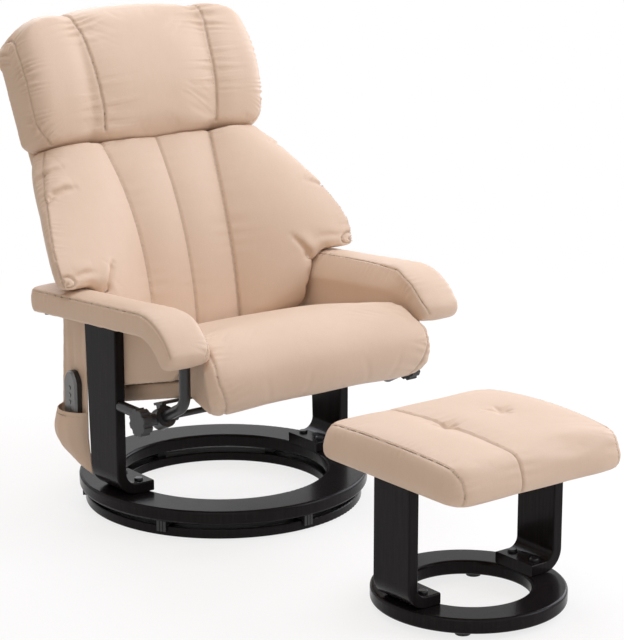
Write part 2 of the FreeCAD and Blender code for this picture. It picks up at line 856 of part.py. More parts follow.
# Seat hangers with slide bushes on the glide tubes
tube_direction = (tube_elbow - tube_knee).normalize()
knee_reach = tube_bend_radius * math.tan(math.radians(tube_slope / 2))
bush_centre = tube_knee + tube_direction * (knee_reach + bush_rest_margin + bush_length / 2)
bush_half = tube_direction * (bush_length / 2)
bush_outer_radius = tube_radius + running_gap + bush_wall
eye_radius = bush_outer_radius + hanger_eye_wall
slide_bush = tube_ring(
    bush_outer_radius, tube_radius + running_gap, bush_centre - bush_half, bush_centre + bush_half
)
hanger_eye = rod(eye_radius, bush_centre - bush_half, bush_centre + bush_half)
bush_in_seat = to_seat(bush_centre)
plate_half = hanger_plate_width / 2
hanger_plate = box_between(
    Vector(hanger_plate_inboard, bush_in_seat.y - plate_half, seat_base_bottom - hanger_plate_thickness),
    Vector(tube_x + hanger_leg_width / 2, bush_in_seat.y + plate_half, seat_base_bottom),
)
hanger_leg = box_between(
    Vector(tube_x - hanger_leg_width / 2, bush_in_seat.y - hanger_leg_width / 2, bush_in_seat.z),
    Vector(tube_x + hanger_leg_width / 2, bush_in_seat.y + hanger_leg_width / 2, seat_base_bottom),
)
boss_end = bush_centre + X_AXIS * (eye_radius + stud_boss_length)
hanger = in_seat(hanger_plate.fuse(hanger_leg)).fuse(hanger_eye)
hanger = hanger.fuse(rod(stud_boss_radius, bush_centre, boss_end))
hanger = hanger.cut(rod(bush_outer_radius, bush_centre - bush_half, bush_centre + bush_half))
stud_hole = rod(stud_radius + pin_fit, bush_centre, boss_end)
hanger = hanger.cut(stud_hole).removeSplitter()
slide_bush = slide_bush.cut(rod(stud_radius + running_gap, bush_centre, boss_end))

# Clamp knobs: a lobed grip on a stud that bears on the glide tube
stud_start = bush_centre + X_AXIS * (tube_radius + running_gap)
knob_base = boss_end + X_AXIS * running_gap
knob_face = knob_base + X_AXIS * knob_hub_length
knob_outer = knob_face + X_AXIS * knob_thickness
knob = rod(knob_radius, knob_face, knob_outer)
for index in range(knob_lobe_count):
    turn = 2 * math.pi * index / knob_lobe_count
    radius = knob_radius + knob_lobe_radius * 0.45
    spoke = Vector(0, math.cos(turn), math.sin(turn)) * radius
    knob = knob.cut(rod(knob_lobe_radius, knob_face + spoke, knob_outer + spoke))
rim = [edge for edge in knob.Edges if abs(edge.tangentAt(edge.FirstParameter).x) < 0.1]
rim = [edge for edge in rim if edge.CenterOfMass.x > knob_outer.x - knob_edge_round]
knob = knob.makeFillet(knob_edge_round * 0.5, rim)
knob = knob.fuse(rod(knob_hub_radius, knob_base, knob_face))
stud_end = knob_face + X_AXIS * knob_thickness * 0.6
knob = knob.cut(rod(stud_radius, knob_base, stud_end)).removeSplitter()
clamp_stud = rod(stud_radius, stud_start, stud_end)

# Cross rod between the two hangers
rod_reach = X_AXIS * (bush_centre.x - eye_radius)
rod_centre = Vector(0, bush_centre.y, bush_centre.z)
nut_length = X_AXIS * cross_rod_nut_length
cross_rod = rod(cross_rod_radius, rod_centre - rod_reach, rod_centre + rod_reach)
for rod_end, inward in ((rod_centre + rod_reach, nut_length * -1), (rod_centre - rod_reach, nut_length)):
    cross_rod = cross_rod.fuse(rod(cross_rod_nut_radius, rod_end, rod_end + inward))

# Hinge between the seat's rear and the foot of the back
hinge_turn = math.radians(hinge_angle)
hinge = pivot - Vector(0, math.sin(hinge_turn), math.cos(hinge_turn)) * hinge_radius
ear_root = from_seat(Vector(0, seat_base_rear, seat_base_bottom + hinge_ear_radius * 0.8))
solid_base = in_seat(box_between(base_low, base_high))


def link_plate(start, end, radius, low_x, high_x):
    """Flat steel link with round ends, between two places in the side view."""
    low = X_AXIS * low_x
    high = X_AXIS * high_x
    ends = rod(radius, start + low, start + high).fuse(rod(radius, end + low, end + high))
    along = (end - start).normalize()
    aside = along.cross(X_AXIS) * radius
    corners = [start + low + aside, start + low - aside, end + low - aside, end + low + aside]
    web = prism(Part.makePolygon(corners + corners[:1]), X_AXIS * (high_x - low_x))
    return ends.fuse(web).removeSplitter()


ear_inside = hinge_lug_thickness / 2 + hinge_side_gap
ear_outside = ear_inside + hinge_ear_thickness
hinge_ears = []
for side in (-1, 1):
    faces = sorted((hinge_x + side * ear_inside, hinge_x + side * ear_outside))
    ear = link_plate(ear_root, hinge, hinge_ear_radius, faces[0], faces[1]).cut(solid_base)
    ear = ear.cut(rod(hinge_pin_radius, hinge + X_AXIS * faces[0], hinge + X_AXIS * faces[1]))
    hinge_ears.append(ear)
hinge_pin = rod(
    hinge_pin_radius, hinge + X_AXIS * (hinge_x - ear_outside), hinge + X_AXIS * (hinge_x + ear_outside)
)

export("seat_cushion", seat_cushion)
export("seat_base", in_seat(seat_base))
export("seat_webbing", in_seat(Part.makeCompound(seat_webbing)))
export("seat_motors", in_seat(both_sides(seat_motor)))
export("control_box", in_seat(control_box))
export("power_inlet", in_seat(power_inlet))
export("seat_hangers", both_sides(hanger))
export("slide_bushes", both_sides(slide_bush))
export("cross_rod", cross_rod)
export("hinge_ears", both_sides(Part.makeCompound(hinge_ears)))
export("hinge_pins", both_sides(hinge_pin))
export("knob_right", knob)
export("knob_left", mirrored(knob))
export("clamp_stud_right", clamp_stud)
export("clamp_stud_left", mirrored(clamp_stud))


# Backrest, drawn upright with the shell's rim at y = 0 and then leaned back
def share(height, low, high):
    return min(max((height - low) / (high - low), 0.0), 1.0)


def shell_half_width(height):
    grow = share(height, 0.0, headrest_foot)
    return shell_foot_half_width + (shell_head_half_width - shell_foot_half_width) * grow


def shell_section(height, inset, front, side_depth, crown):
    half = shell_half_width(height) - inset
    return outline(
        [
            Vector(-half, front, height),
            Vector(half, front, height),
            Vector(half, side_depth, height),
            Vector(-half, side_depth, height),
        ],
        [0, 0, crown, 0],
        Z_AXIS,
    )


shell_heights = [shell_foot, 0.0, lumbar_height, headrest_foot, shell_top - shell_wall * 2, shell_top]
back_shell = loft([shell_section(height, 0, 0, shell_side_depth, shell_crown) for height in shell_heights])
hollow_heights = [shell_foot + shell_wall] + shell_heights[1:-2] + [shell_top - shell_wall]
hollow_depth = shell_side_depth - shell_wall * 0.3
hollow_crown = shell_crown - shell_wall * 0.5
shell_hollow = loft([
    shell_section(height, shell_wall, -shell_wall, hollow_depth, hollow_crown) for height in hollow_heights
])
back_shell = back_shell.cut(shell_hollow)
corner_low = Vector(shell_head_half_width - shell_corner, -shell_wall, shell_top - shell_corner)
corner_high = Vector(shell_head_half_width * 2, shell_side_depth * 3, shell_top * 2)
corner_round = rod(shell_corner, corner_low, corner_low + Y_AXIS * shell_side_depth * 4)
shell_cut = box_between(corner_low, corner_high).cut(corner_round)
back_shell = back_shell.cut(shell_cut).cut(mirrored(shell_cut))

# Frame loop inside the shell, with pivot bosses and hinge lugs
pivot_in_back = Vector(0, frame_depth, pivot_height)
hinge_in_back = to_back(hinge)
frame_left = Vector(-frame_half_width, frame_depth, 0)
frame_right = Vector(frame_half_width, frame_depth, 0)
foot_up = Z_AXIS * frame_foot
top_up = Z_AXIS * frame_top
middle_foot = Vector(0, frame_depth, frame_foot)
back_frame = bent_tube(
    [
        middle_foot,
        frame_right + foot_up,
        frame_right + top_up,
        frame_left + top_up,
        frame_left + foot_up,
        middle_foot,
    ],
    frame_corner_radius,
    frame_tube_radius,
)
cross_up = Z_AXIS * frame_cross_height
back_frame = back_frame.fuse(rod(frame_tube_radius, frame_left + cross_up, frame_right + cross_up))
lug_faces = (hinge_x - hinge_lug_thickness / 2, hinge_x + hinge_lug_thickness / 2)
lug_root = Vector(0, hinge_lug_radius + soft_gap, frame_foot)
hinge_lug = link_plate(lug_root, hinge_in_back, hinge_lug_radius, lug_faces[0], lug_faces[1])
lug_hole = rod(
    hinge_pin_radius + hinge_lug_play,
    hinge_in_back + X_AXIS * lug_faces[0],
    hinge_in_back + X_AXIS * lug_faces[1],
)
slot_top = lug_root.z + hinge_lug_radius + hinge_side_gap
lug_slot = box_between(
    Vector(lug_faces[0] - hinge_side_gap, -shell_wall, shell_foot),
    Vector(lug_faces[1] + hinge_side_gap, shell_side_depth + shell_crown, slot_top),
)
boss_start = pivot_in_back + X_AXIS * frame_half_width
boss_face = pivot_in_back + X_AXIS * pivot_boss_face
pivot_boss = rod(pivot_boss_radius, boss_start, boss_face)
pivot_bore = rod(
    pivot_radius + pin_fit, boss_face - X_AXIS * (pivot_pin_bite + running_gap), boss_face
)
boss_room = shell_half_width(pivot_height) + shell_wall
boss_hole = rod(pivot_boss_radius + hole_gap, boss_start, pivot_in_back + X_AXIS * boss_room)
for mirror_side in (False, True):
    added = [hinge_lug, pivot_boss]
    removed = [lug_hole, pivot_bore]
    openings = [boss_hole, lug_slot]
    if mirror_side:
        added = [mirrored(piece) for piece in added]
        removed = [mirrored(piece) for piece in removed]
        openings = [mirrored(piece) for piece in openings]
    back_frame = back_frame.fuse(added[0]).fuse(added[1]).cut(removed[0]).cut(removed[1])
    back_shell = back_shell.cut(openings[0]).cut(openings[1])

# Straps across the shell's rim and the motors behind them
back_straps = []
for height in back_strap_heights:
    reach = shell_half_width(height) - shell_wall * 0.3
    strap_low = Vector(-reach, -webbing_thickness + soft_gap, height - motor_flange_radius)
    strap_high = Vector(reach, 0, height + motor_flange_radius)
    back_straps.append(box_between(strap_low, strap_high))
back_motors = []
for height in back_strap_heights[:2]:
    pod = motor_pod(Vector(back_motor_x, 0, height), Y_AXIS)
    back_motors.append(pod)
    back_motors.append(mirrored(pod))


# Two sewn channels down the middle of the back
def lumbar_face(height):
    span = lumbar_height - cushion_foot
    return lumbar_depth - (lumbar_depth - lumbar_foot_depth) * ((height - lumbar_height) / span) ** 2


def channel_edge(height):
    grow = share(height, cushion_foot, cushion_top) ** 3
    return channel_foot_half_width + (channel_head_half_width - channel_foot_half_width) * grow


def channel_section(height):
    edge = channel_edge(height)
    face = -lumbar_face(height)
    return outline(
        [
            Vector(0, face + channel_seam_sink, height),
            Vector(edge, face + channel_seam_sink, height),
            Vector(edge, -cushion_seat_depth, height),
            Vector(0, -cushion_seat_depth, height),
        ],
        [channel_crown, 0, 0, 0],
        Z_AXIS,
    )


cushion_span = cushion_top - cushion_foot
cushion_heights = [cushion_foot + cushion_span * step / 5 for step in range(6)]
channel = loft([channel_section(height) for height in cushion_heights])
back_cushion = channel.fuse(mirrored(channel))


# Wings that flare forwards over the arms
def wing_corner(height):
    if height < wing_tip_height:
        fall = share(-height, -wing_tip_height, -cushion_foot) ** 1.2
        x = wing_tip_x - (wing_tip_x - wing_foot_x) * fall
        return Vector(x, -wing_tip_depth + (wing_tip_depth - wing_foot_depth) * fall, height)
    rise = share(height, wing_tip_height, cushion_top)
    x = wing_head_x + (wing_tip_x - wing_head_x) * (1 - rise ** 1.85)
    depth = wing_head_depth + (wing_tip_depth - wing_head_depth) * (1 - rise ** 1.3)
    return Vector(x, -depth, height)


def wing_section(height):
    inner = channel_edge(height) + soft_gap
    rear_x = shell_half_width(height) - soft_gap
    rear_x = min(rear_x, wing_corner(height).x)
    return outline(
        [
            Vector(inner, -lumbar_face(height) + channel_seam_sink, height),
            wing_corner(height),
            Vector(rear_x, -cushion_seat_depth, height),
            Vector(inner, -cushion_seat_depth, height),
        ],
        [wing_crown, wing_side_crown, 0, 0],
        Z_AXIS,
    )


wing = in_back(loft([wing_section(height) for height in cushion_heights]))
wing_front = from_back(Vector(0, -wing_tip_depth, wing_tip_height)).y
arm_fall = math.tan(math.radians(arm_slope)) * (wing_front - arm_bend_y)
arm_crest = arm_bend_height + (arm_outer_radius + arm_crown) / math.cos(math.radians(arm_slope)) - arm_fall
wing_clear_height = arm_crest + wing_arm_gap
wing_room = box_between(
    Vector(arm_inner_face - wing_side_gap, back_reference_y - ring_outer_radius * 2, 0),
    Vector(arm_outer_face * 2, back_reference_y + ring_outer_radius, wing_clear_height),
)
wing = wing.cut(wing_room)


# Headrest pillow in three puffed panels
def headrest_section(x, sink, fall, crown, top_crown):
    front_foot = -headrest_foot_depth + sink
    front_brow = -headrest_brow_depth + sink
    overhang = headrest_overhang - sink * 0.3
    crest = headrest_brow - fall
    rest = min(shell_top + soft_gap, crest - headrest_overhang_thickness)
    return outline(
        [
            Vector(x, front_foot, headrest_foot + sink * 0.8 + headrest_foot_crown),
            Vector(x, -cushion_seat_depth, headrest_foot + sink * 0.5),
            Vector(x, -cushion_seat_depth, rest),
            Vector(x, overhang, rest),
            Vector(x, overhang, crest),
            Vector(x, front_brow, crest - sink * 0.4),
        ],
        [headrest_foot_crown * 0.8, 0, 0, 0, top_crown, crown],
        X_AXIS,
    )


def headrest_station(x):
    to_seam = max(1 - abs(abs(x) - headrest_seam_x) / headrest_puff_width, 0.0)
    to_end = headrest_half_width - abs(x)
    seam_sink = headrest_seam_sink * to_seam ** 2
    sink = seam_sink + edge_draw(to_end, headrest_edge_softness)
    fall = edge_draw(to_end, headrest_corner) * headrest_corner_fall
    arch = 1 - (x / headrest_half_width) ** 2
    top_crown = headrest_end_crown + headrest_top_crown * arch - seam_sink * 0.5
    return headrest_section(x, sink, fall, headrest_crown - seam_sink * 0.5, top_crown)


middle_steps = [-1.0, -0.85, -0.6, -0.3, 0.0, 0.3, 0.6, 0.85, 1.0]
middle_panel = loft([headrest_station(headrest_seam_x * step) for step in middle_steps])
headrest_end = headrest_half_width - headrest_edge_softness
side_steps = [0.0, 0.2, 0.5, 0.8, 1.0]
side_places = [headrest_seam_x + (headrest_end - headrest_seam_x) * step for step in side_steps]
side_places += [headrest_half_width - headrest_edge_softness * step for step in (0.6, 0.3, 0.08, 0.0)]
side_panel_pillow = loft([headrest_station(x) for x in side_places])
headrest_pillow = middle_panel.fuse(side_panel_pillow).fuse(mirrored(side_panel_pillow))

export("back_shell", in_back(back_shell))
export("back_frame", in_back(back_frame))
export("back_straps", in_back(Part.makeCompound(back_straps)))
export("back_motors", in_back(Part.makeCompound(back_motors)))
export("back_cushion", in_back(back_cushion))
export("wing_right", wing)
export("wing_left", mirrored(wing))
export("headrest_pillow", in_back(headrest_pillow))


# Side pocket: a hanging panel with a bulged pouch, open at the top
def pouch_section(taper, front_height, rear_height, depth, inset, sunk):
    back_x = pocket_panel_x - pocket_panel_thickness + sunk
    front = Vector(back_x, pocket_front_y - taper + inset, front_height)
    rear = Vector(back_x, pocket_rear_y - taper - inset, rear_height)
    belly = (front + rear) * 0.5 - X_AXIS * (depth + sunk - inset)
    return Part.Wire([line(rear, front), arc(front, belly, rear)])


def pouch(inset, lift, sunk):
    rise = inset * 3
    mouth = pocket_mouth_height + lift
    low = pouch_section(
        pocket_low_taper,
        pocket_low_front_height + rise,
        pocket_low_rear_height + rise,
        pocket_low_depth,
        inset,
        sunk,
    )
    belly = pouch_section(0, pocket_belly_height, pocket_belly_height, pocket_belly_depth, inset, sunk)
    top = pouch_section(0, mouth, mouth, pocket_mouth_depth, inset, sunk)
    return loft([low, belly, top])


pocket_top = arm_bend_height + arm_bend_radius
pocket_low_front = Vector(pocket_panel_x, pocket_front_y - pocket_low_taper, pocket_low_front_height)
pocket_wire = Part.makePolygon([
    pocket_low_front,
    Vector(pocket_panel_x, pocket_rear_y - pocket_low_taper, pocket_low_rear_height),
    Vector(pocket_panel_x, pocket_rear_y, pocket_belly_height),
    Vector(pocket_panel_x, pocket_rear_y - pocket_low_taper, pocket_top),
    Vector(pocket_panel_x, pocket_front_y, pocket_top),
    Vector(pocket_panel_x, pocket_front_y, pocket_belly_height),
    pocket_low_front,
])
pocket_panel = prism(pocket_wire, X_AXIS * -pocket_panel_thickness).cut(mirrored(under_arm))
side_pocket = pocket_panel.fuse(pouch(0, 0, pocket_panel_thickness / 2))
side_pocket = side_pocket.cut(pouch(pocket_wall, pocket_wall, 0))

# Handset: back shell, face plate, circuit board and keys
handset_back_x = pocket_panel_x - pocket_panel_thickness - handset_gap
handset_split_x = handset_back_x - handset_back_thickness
handset_face_x = handset_split_x - handset_face_thickness
handset_top = handset_foot_height + handset_length


def handset_wire(x, inset):
    half = handset_width / 2 - inset
    crest = handset_crest / 2 - inset * 0.4
    foot = handset_foot_height + inset
    shoulder = handset_top - handset_shoulder - inset * 0.4
    corner = handset_corner
    points = [
        Vector(x, handset_centre_y - half + corner, foot),
        Vector(x, handset_centre_y + half - corner, foot),
        Vector(x, handset_centre_y + half, foot + corner),
        Vector(x, handset_centre_y + half, shoulder),
        Vector(x, handset_centre_y + crest, handset_top - inset),
        Vector(x, handset_centre_y - crest, handset_top - inset),
        Vector(x, handset_centre_y - half, shoulder),
        Vector(x, handset_centre_y - half, foot + corner),
    ]
    round_corner = corner * 0.2
    bulges = [0, round_corner, 0, handset_wall, handset_wall * 0.5, handset_wall, 0, round_corner]
    return outline(points, bulges, X_AXIS)


handset_back = prism(handset_wire(handset_split_x, 0), X_AXIS * handset_back_thickness)
handset_room = prism(
    handset_wire(handset_split_x, handset_wall), X_AXIS * (handset_back_thickness - handset_wall)
)
handset_back = handset_back.cut(handset_room)
handset_face = loft([handset_wire(handset_split_x, 0), handset_wire(handset_face_x, handset_wall * 1.5)])
board_outer_x = handset_split_x + button_depth
circuit_board = prism(
    handset_wire(board_outer_x, handset_wall + hole_gap), X_AXIS * board_thickness
)
button_nodes = {}
for index, name in enumerate(button_names):
    place = Vector(0, handset_centre_y, handset_top - button_first_drop - index * button_pitch)
    outer_end = place + X_AXIS * (handset_face_x - button_proud)
    inner_end = place + X_AXIS * (board_outer_x - button_proud - running_gap)
    button_nodes["button_" + name] = rod(button_radius, outer_end, inner_end)
    through = rod(button_radius + button_gap, outer_end, place + X_AXIS * handset_split_x)
    handset_face = handset_face.cut(through)

export("side_pocket", side_pocket)
export("handset_back", handset_back)
export("handset_face", handset_face)
export("circuit_board", circuit_board)
for name, shape in button_nodes.items():
    export(name, shape)

# Footstool: ring on glides, two bent legs, a board and a tufted cushion
stool_shift = Y_AXIS * stool_centre_y
stool_ring = flat_ring(
    stool_ring_outer_radius, stool_ring_width, stool_ring_bottom, ring_thickness, ring_edge_round
)
stool_ring_top = stool_ring_bottom + ring_thickness
stool_ring_middle = stool_ring_outer_radius - stool_ring_width / 2
stool_glide = rod(
    stool_glide_radius, Vector(stool_ring_middle, 0, 0), Vector(stool_ring_middle, 0, stool_ring_bottom)
)
stool_glides = around_z(stool_glide, stool_glide_count, 45.0)
stool_leg_side = outline(
    [
        Vector(0, -stool_leg_half_width, stool_ring_top),
        Vector(0, stool_leg_half_width, stool_ring_top),
        Vector(0, stool_leg_half_width, stool_leg_top),
        Vector(0, -stool_leg_half_width, stool_leg_top),
    ],
    [0, 0, 0, 0],
    X_AXIS,
)
stool_leg = bent_board(
    stool_leg_outer_face,
    stool_leg_foot_tip,
    stool_ring_top,
    stool_leg_top,
    stool_leg_bend_radius,
    stool_leg_side,
)
stool_leg = soften_long_edges(stool_leg, stool_ring_top, stool_leg_top)
stool_foot_top = stool_ring_top + upright_thickness
stool_bolt_x = stool_leg_foot_tip + bolt_tip_distance
stool_bolts = []
for bolt_side in (-1, 1):
    bolt_y = bolt_side * (stool_leg_half_width - bolt_side_distance)
    hole = bolt_hole(stool_bolt_x, bolt_y, stool_foot_top)
    stool_leg = stool_leg.cut(hole)
    stool_ring = stool_ring.cut(hole).cut(mirrored(hole))
    stool_bolts.append(foot_bolt(stool_bolt_x, bolt_y, stool_foot_top))


def stool_section(x, drawn_in, sink):
    depth = stool_cushion_half_depth - drawn_in
    low = stool_cushion_bottom + drawn_in * 0.25
    high = stool_cushion_edge - drawn_in * 0.35 - sink * 0.4
    edge = stool_edge_round
    corner = edge * (1 - math.sqrt(0.5))
    side = stool_side_crown - sink * 0.4
    return outline(
        [
            Vector(x, -depth, low),
            Vector(x, depth, low),
            Vector(x, depth, high - edge),
            Vector(x, depth - edge, high),
            Vector(x, -depth + edge, high),
            Vector(x, -depth, high - edge),
        ],
        [0, side, corner, stool_cushion_crown - sink, corner, side],
        X_AXIS,
    )


def stool_station(x):
    to_seam = max(1 - abs(x - stool_seam_x) / stool_puff_width, 0.0)
    drawn_in = edge_draw(stool_cushion_half_width - abs(x), stool_corner)
    return stool_section(x, drawn_in, stool_seam_sink * to_seam ** 2)


stool_places = soft_stations(stool_cushion_half_width, stool_corner)
seam_places = [stool_puff_width * step for step in (0.25, 0.6, 1.0)]
left_places = [x for x in stool_places if x < stool_seam_x - stool_puff_width]
left_places += [stool_seam_x - place for place in seam_places[::-1]] + [stool_seam_x]
right_places = [stool_seam_x] + [stool_seam_x + place for place in seam_places]
right_places += [x for x in stool_places if x > stool_seam_x + stool_puff_width]
stool_left_panel = loft([stool_station(x) for x in left_places])
stool_right_panel = loft([stool_station(x) for x in right_places])
stool_cushion = stool_left_panel.fuse(stool_right_panel)
stool_crest = stool_cushion_edge + stool_cushion_crown
for tuft_x, tuft_drop in ((stool_seam_x, stool_seam_sink), (stool_tuft_x, 0)):
    tuft_height = stool_crest - tuft_drop - stool_tuft_sink + stool_tuft_radius
    stool_cushion = stool_cushion.cut(Part.makeSphere(stool_tuft_radius, Vector(tuft_x, 0, tuft_height)))
stool_board_half_width = stool_cushion_half_width - stool_board_inset
stool_board_half_depth = stool_cushion_half_depth - stool_board_inset
stool_board = box_between(
    Vector(-stool_board_half_width, -stool_board_half_depth, stool_cushion_bottom),
    Vector(stool_board_half_width, stool_board_half_depth, stool_cushion_bottom + stool_board_thickness),
)
board_room = box_between(
    Vector(-stool_board_half_width, -stool_board_half_depth, stool_cushion_bottom - stool_board_thickness),
    Vector(stool_board_half_width, stool_board_half_depth, stool_cushion_bottom + stool_board_thickness),
)
stool_cushion = stool_cushion.cut(board_room)

stool_nodes = {
    "stool_ring": stool_ring,
    "stool_glides": stool_glides,
    "stool_leg_right": stool_leg,
    "stool_leg_left": mirrored(stool_leg),
    "stool_bolts": both_sides(Part.makeCompound(stool_bolts)),
    "stool_board": stool_board,
    "stool_cushion": stool_cushion,
}
for name, shape in stool_nodes.items():
    shape.translate(stool_shift)
    export(name, shape)
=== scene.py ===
import json
import math

import bmesh
import bpy
import numpy as np
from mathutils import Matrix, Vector
from mathutils.bvhtree import BVHTree


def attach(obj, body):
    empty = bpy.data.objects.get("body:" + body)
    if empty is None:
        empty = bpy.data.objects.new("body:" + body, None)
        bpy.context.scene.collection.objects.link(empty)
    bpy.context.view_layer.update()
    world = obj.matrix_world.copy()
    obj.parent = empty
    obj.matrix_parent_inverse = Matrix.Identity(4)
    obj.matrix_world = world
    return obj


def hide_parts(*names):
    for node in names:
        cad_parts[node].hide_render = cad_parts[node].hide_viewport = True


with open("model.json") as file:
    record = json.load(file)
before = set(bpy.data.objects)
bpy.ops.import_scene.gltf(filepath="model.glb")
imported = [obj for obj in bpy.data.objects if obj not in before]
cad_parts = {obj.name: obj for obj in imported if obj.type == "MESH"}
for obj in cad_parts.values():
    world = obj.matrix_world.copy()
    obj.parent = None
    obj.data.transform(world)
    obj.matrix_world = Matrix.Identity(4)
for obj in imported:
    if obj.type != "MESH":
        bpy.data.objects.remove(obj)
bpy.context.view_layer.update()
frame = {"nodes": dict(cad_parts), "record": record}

NODES = frame["nodes"]

# Places of the chair, in metres, as the solids have them
LEAN = math.radians(25.3)
BACK_ORIGIN = np.array([0.0, 0.170, 0.445])
INTO_BACK = np.array([0.0, math.cos(LEAN), -math.sin(LEAN)])
SEAT_TILT = math.radians(15.0)
SEAT_ORIGIN = np.array([0.0, -0.075, 0.381])
ARM_BEND = np.array([0.0, -0.225, 0.361])
ARM_SLOPE = math.radians(4.0)
ARM_FALL = 0.07
STOOL_ORIGIN = np.array([0.0, -0.775, 0.0])
CUSHION_FOOT = -0.128
CUSHION_TOP = 0.284
SIDES = (-1, 1)

# Covers, seams and stitches, in metres
COVER_MESH = 0.0045
PANEL_MESH = 0.004
POCKET_MESH = 0.0014
PATH_STEP = 0.002
SEAM_STEP = 0.0008
SEAM_GRIP = 0.0013
SEAM_HOLD = 0.004
SEAM_SHADE = 0.0019
STITCH_PITCH = 0.0055
STITCH_LENGTH = 0.0041
STITCH_RADIUS = 0.00045
STITCH_SIDES = 5

# How hard and how long the covers are stuffed
FILLING_PRESSURE = 5.0
FILLING_FRAMES = 13


# Meshes
def points_of(piece):
    flat = np.zeros(len(piece.data.vertices) * 3, np.float32)
    piece.data.vertices.foreach_get("co", flat)
    return flat.reshape(-1, 3).astype(float)


def set_points(piece, points):
    piece.data.vertices.foreach_set("co", np.asarray(points, np.float32).ravel())
    piece.data.update()


def normals_of(piece):
    flat = np.zeros(len(piece.data.vertices) * 3, np.float32)
    piece.data.vertex_normals.foreach_get("vector", flat)
    return flat.reshape(-1, 3).astype(float)


def new_piece(name, points, faces):
    mesh = bpy.data.meshes.new(name)
    mesh.from_pydata([tuple(point) for point in points], [], faces)
    mesh.update()
    piece = bpy.data.objects.new(name, mesh)
    bpy.context.scene.collection.objects.link(piece)
    return piece


def settle(piece):
    """Turn a piece's modifiers into its mesh."""
    bpy.context.view_layer.update()
    shown = piece.evaluated_get(bpy.context.evaluated_depsgraph_get())
    mesh = bpy.data.meshes.new_from_object(shown)
    piece.modifiers.clear()
    old = piece.data
    piece.data = mesh
    bpy.data.meshes.remove(old)
    mesh.name = piece.name


def worked(piece, kind, **settings):
    """Add one modifier and settle it."""
    modifier = piece.modifiers.new(kind.lower(), kind)
    for key, value in settings.items():
        setattr(modifier, key, value)
    settle(piece)


def smooth_shaded(piece):
    piece.data.polygons.foreach_set("use_smooth", [True] * len(piece.data.polygons))
    piece.data.update()


def finer(piece):
    """Divide every face once more and shade the skin smooth."""
    worked(piece, "SUBSURF", levels=1, render_levels=1)
    smooth_shaded(piece)


def evened(piece, times, where=None):
    """Smooth a skin, all over or by a share for each point."""
    before = points_of(piece)
    worked(piece, "SMOOTH", factor=0.5, iterations=times)
    if where is not None:
        set_points(piece, before + (points_of(piece) - before) * where[:, None])


def stuffed_copy(name, nodes, voxel, drawn_together=0.0):
    """One closed skin round the solids of some nodes."""
    points = []
    faces = []
    for node in nodes:
        mesh = NODES[node].data
        start = len(points)
        for vertex in mesh.vertices:
            place = vertex.co.copy()
            place.x -= math.copysign(min(drawn_together, abs(place.x)), place.x)
            points.append(place)
        faces += [[start + index for index in face.vertices] for face in mesh.polygons]
    piece = new_piece(name, points, faces)
    worked(piece, "WELD", merge_threshold=0.00005)
    worked(piece, "REMESH", mode="VOXEL", voxel_size=voxel, adaptivity=0.0)
    return piece


def eased(value, low, high):
    """A smooth step from 0 at low to 1 at high."""
    share = np.clip((value - low) / (high - low), 0.0, 1.0)
    return share * share * (3.0 - 2.0 * share)


# Frames of the leaned back and the tilted seat
def to_back(points):
    away = np.asarray(points, float) - BACK_ORIGIN
    up = away[..., 1] * math.sin(LEAN) + away[..., 2] * math.cos(LEAN)
    out = -away[..., 1] * math.cos(LEAN) + away[..., 2] * math.sin(LEAN)
    return np.stack([away[..., 0], out, up], -1)


def from_back(x, out, up):
    y = BACK_ORIGIN[1] + up * math.sin(LEAN) - out * math.cos(LEAN)
    z = BACK_ORIGIN[2] + up * math.cos(LEAN) + out * math.sin(LEAN)
    return np.stack(np.broadcast_arrays(x, y, z), -1).astype(float)


def to_seat(points):
    away = np.asarray(points, float) - SEAT_ORIGIN
    back = away[..., 1] * math.cos(SEAT_TILT) - away[..., 2] * math.sin(SEAT_TILT)
    up = away[..., 1] * math.sin(SEAT_TILT) + away[..., 2] * math.cos(SEAT_TILT)
    return np.stack([away[..., 0], back, up], -1)


def from_seat(x, back, up):
    y = SEAT_ORIGIN[1] + back * math.cos(SEAT_TILT) + up * math.sin(SEAT_TILT)
    z = SEAT_ORIGIN[2] - back * math.sin(SEAT_TILT) + up * math.cos(SEAT_TILT)
    return np.stack(np.broadcast_arrays(x, y, z), -1).astype(float)


# Seams
def run_of(path):
    """How far along a path each of its points is."""
    steps = np.linalg.norm(np.diff(path, axis=0), axis=1)
    return np.concatenate([[0.0], np.cumsum(steps)])


def along(path, spacing):
    """A path's points again, evenly spaced."""
    path = np.asarray(path, float)
    length = run_of(path)
    count = max(int(length[-1] / spacing), 2)
    wanted = np.linspace(0.0, length[-1], count + 1)
    return np.stack([np.interp(wanted, length, path[:, axis]) for axis in range(3)], -1)


def tree_of(piece):
    skin = bmesh.new()
    skin.from_mesh(piece.data)
    tree = BVHTree.FromBMesh(skin)
    skin.free()
    return tree


def on_skin(piece, path, spacing=PATH_STEP):
    """A path laid on the nearest part of a piece's skin."""
    tree = tree_of(piece)
    return along([tree.find_nearest(Vector(point))[0] for point in along(path, spacing)], spacing)


def cast_on_skin(piece, path, direction):
    """A path dropped on a piece's skin along a direction, from half a metre away."""
    tree = tree_of(piece)
    way = Vector(direction).normalized()
    found = []
    for point in along(path, PATH_STEP):
        hit = tree.ray_cast(Vector(point) - way * 0.5, way)[0]
        if hit is not None:
            found.append(hit)
    return along(found, PATH_STEP)


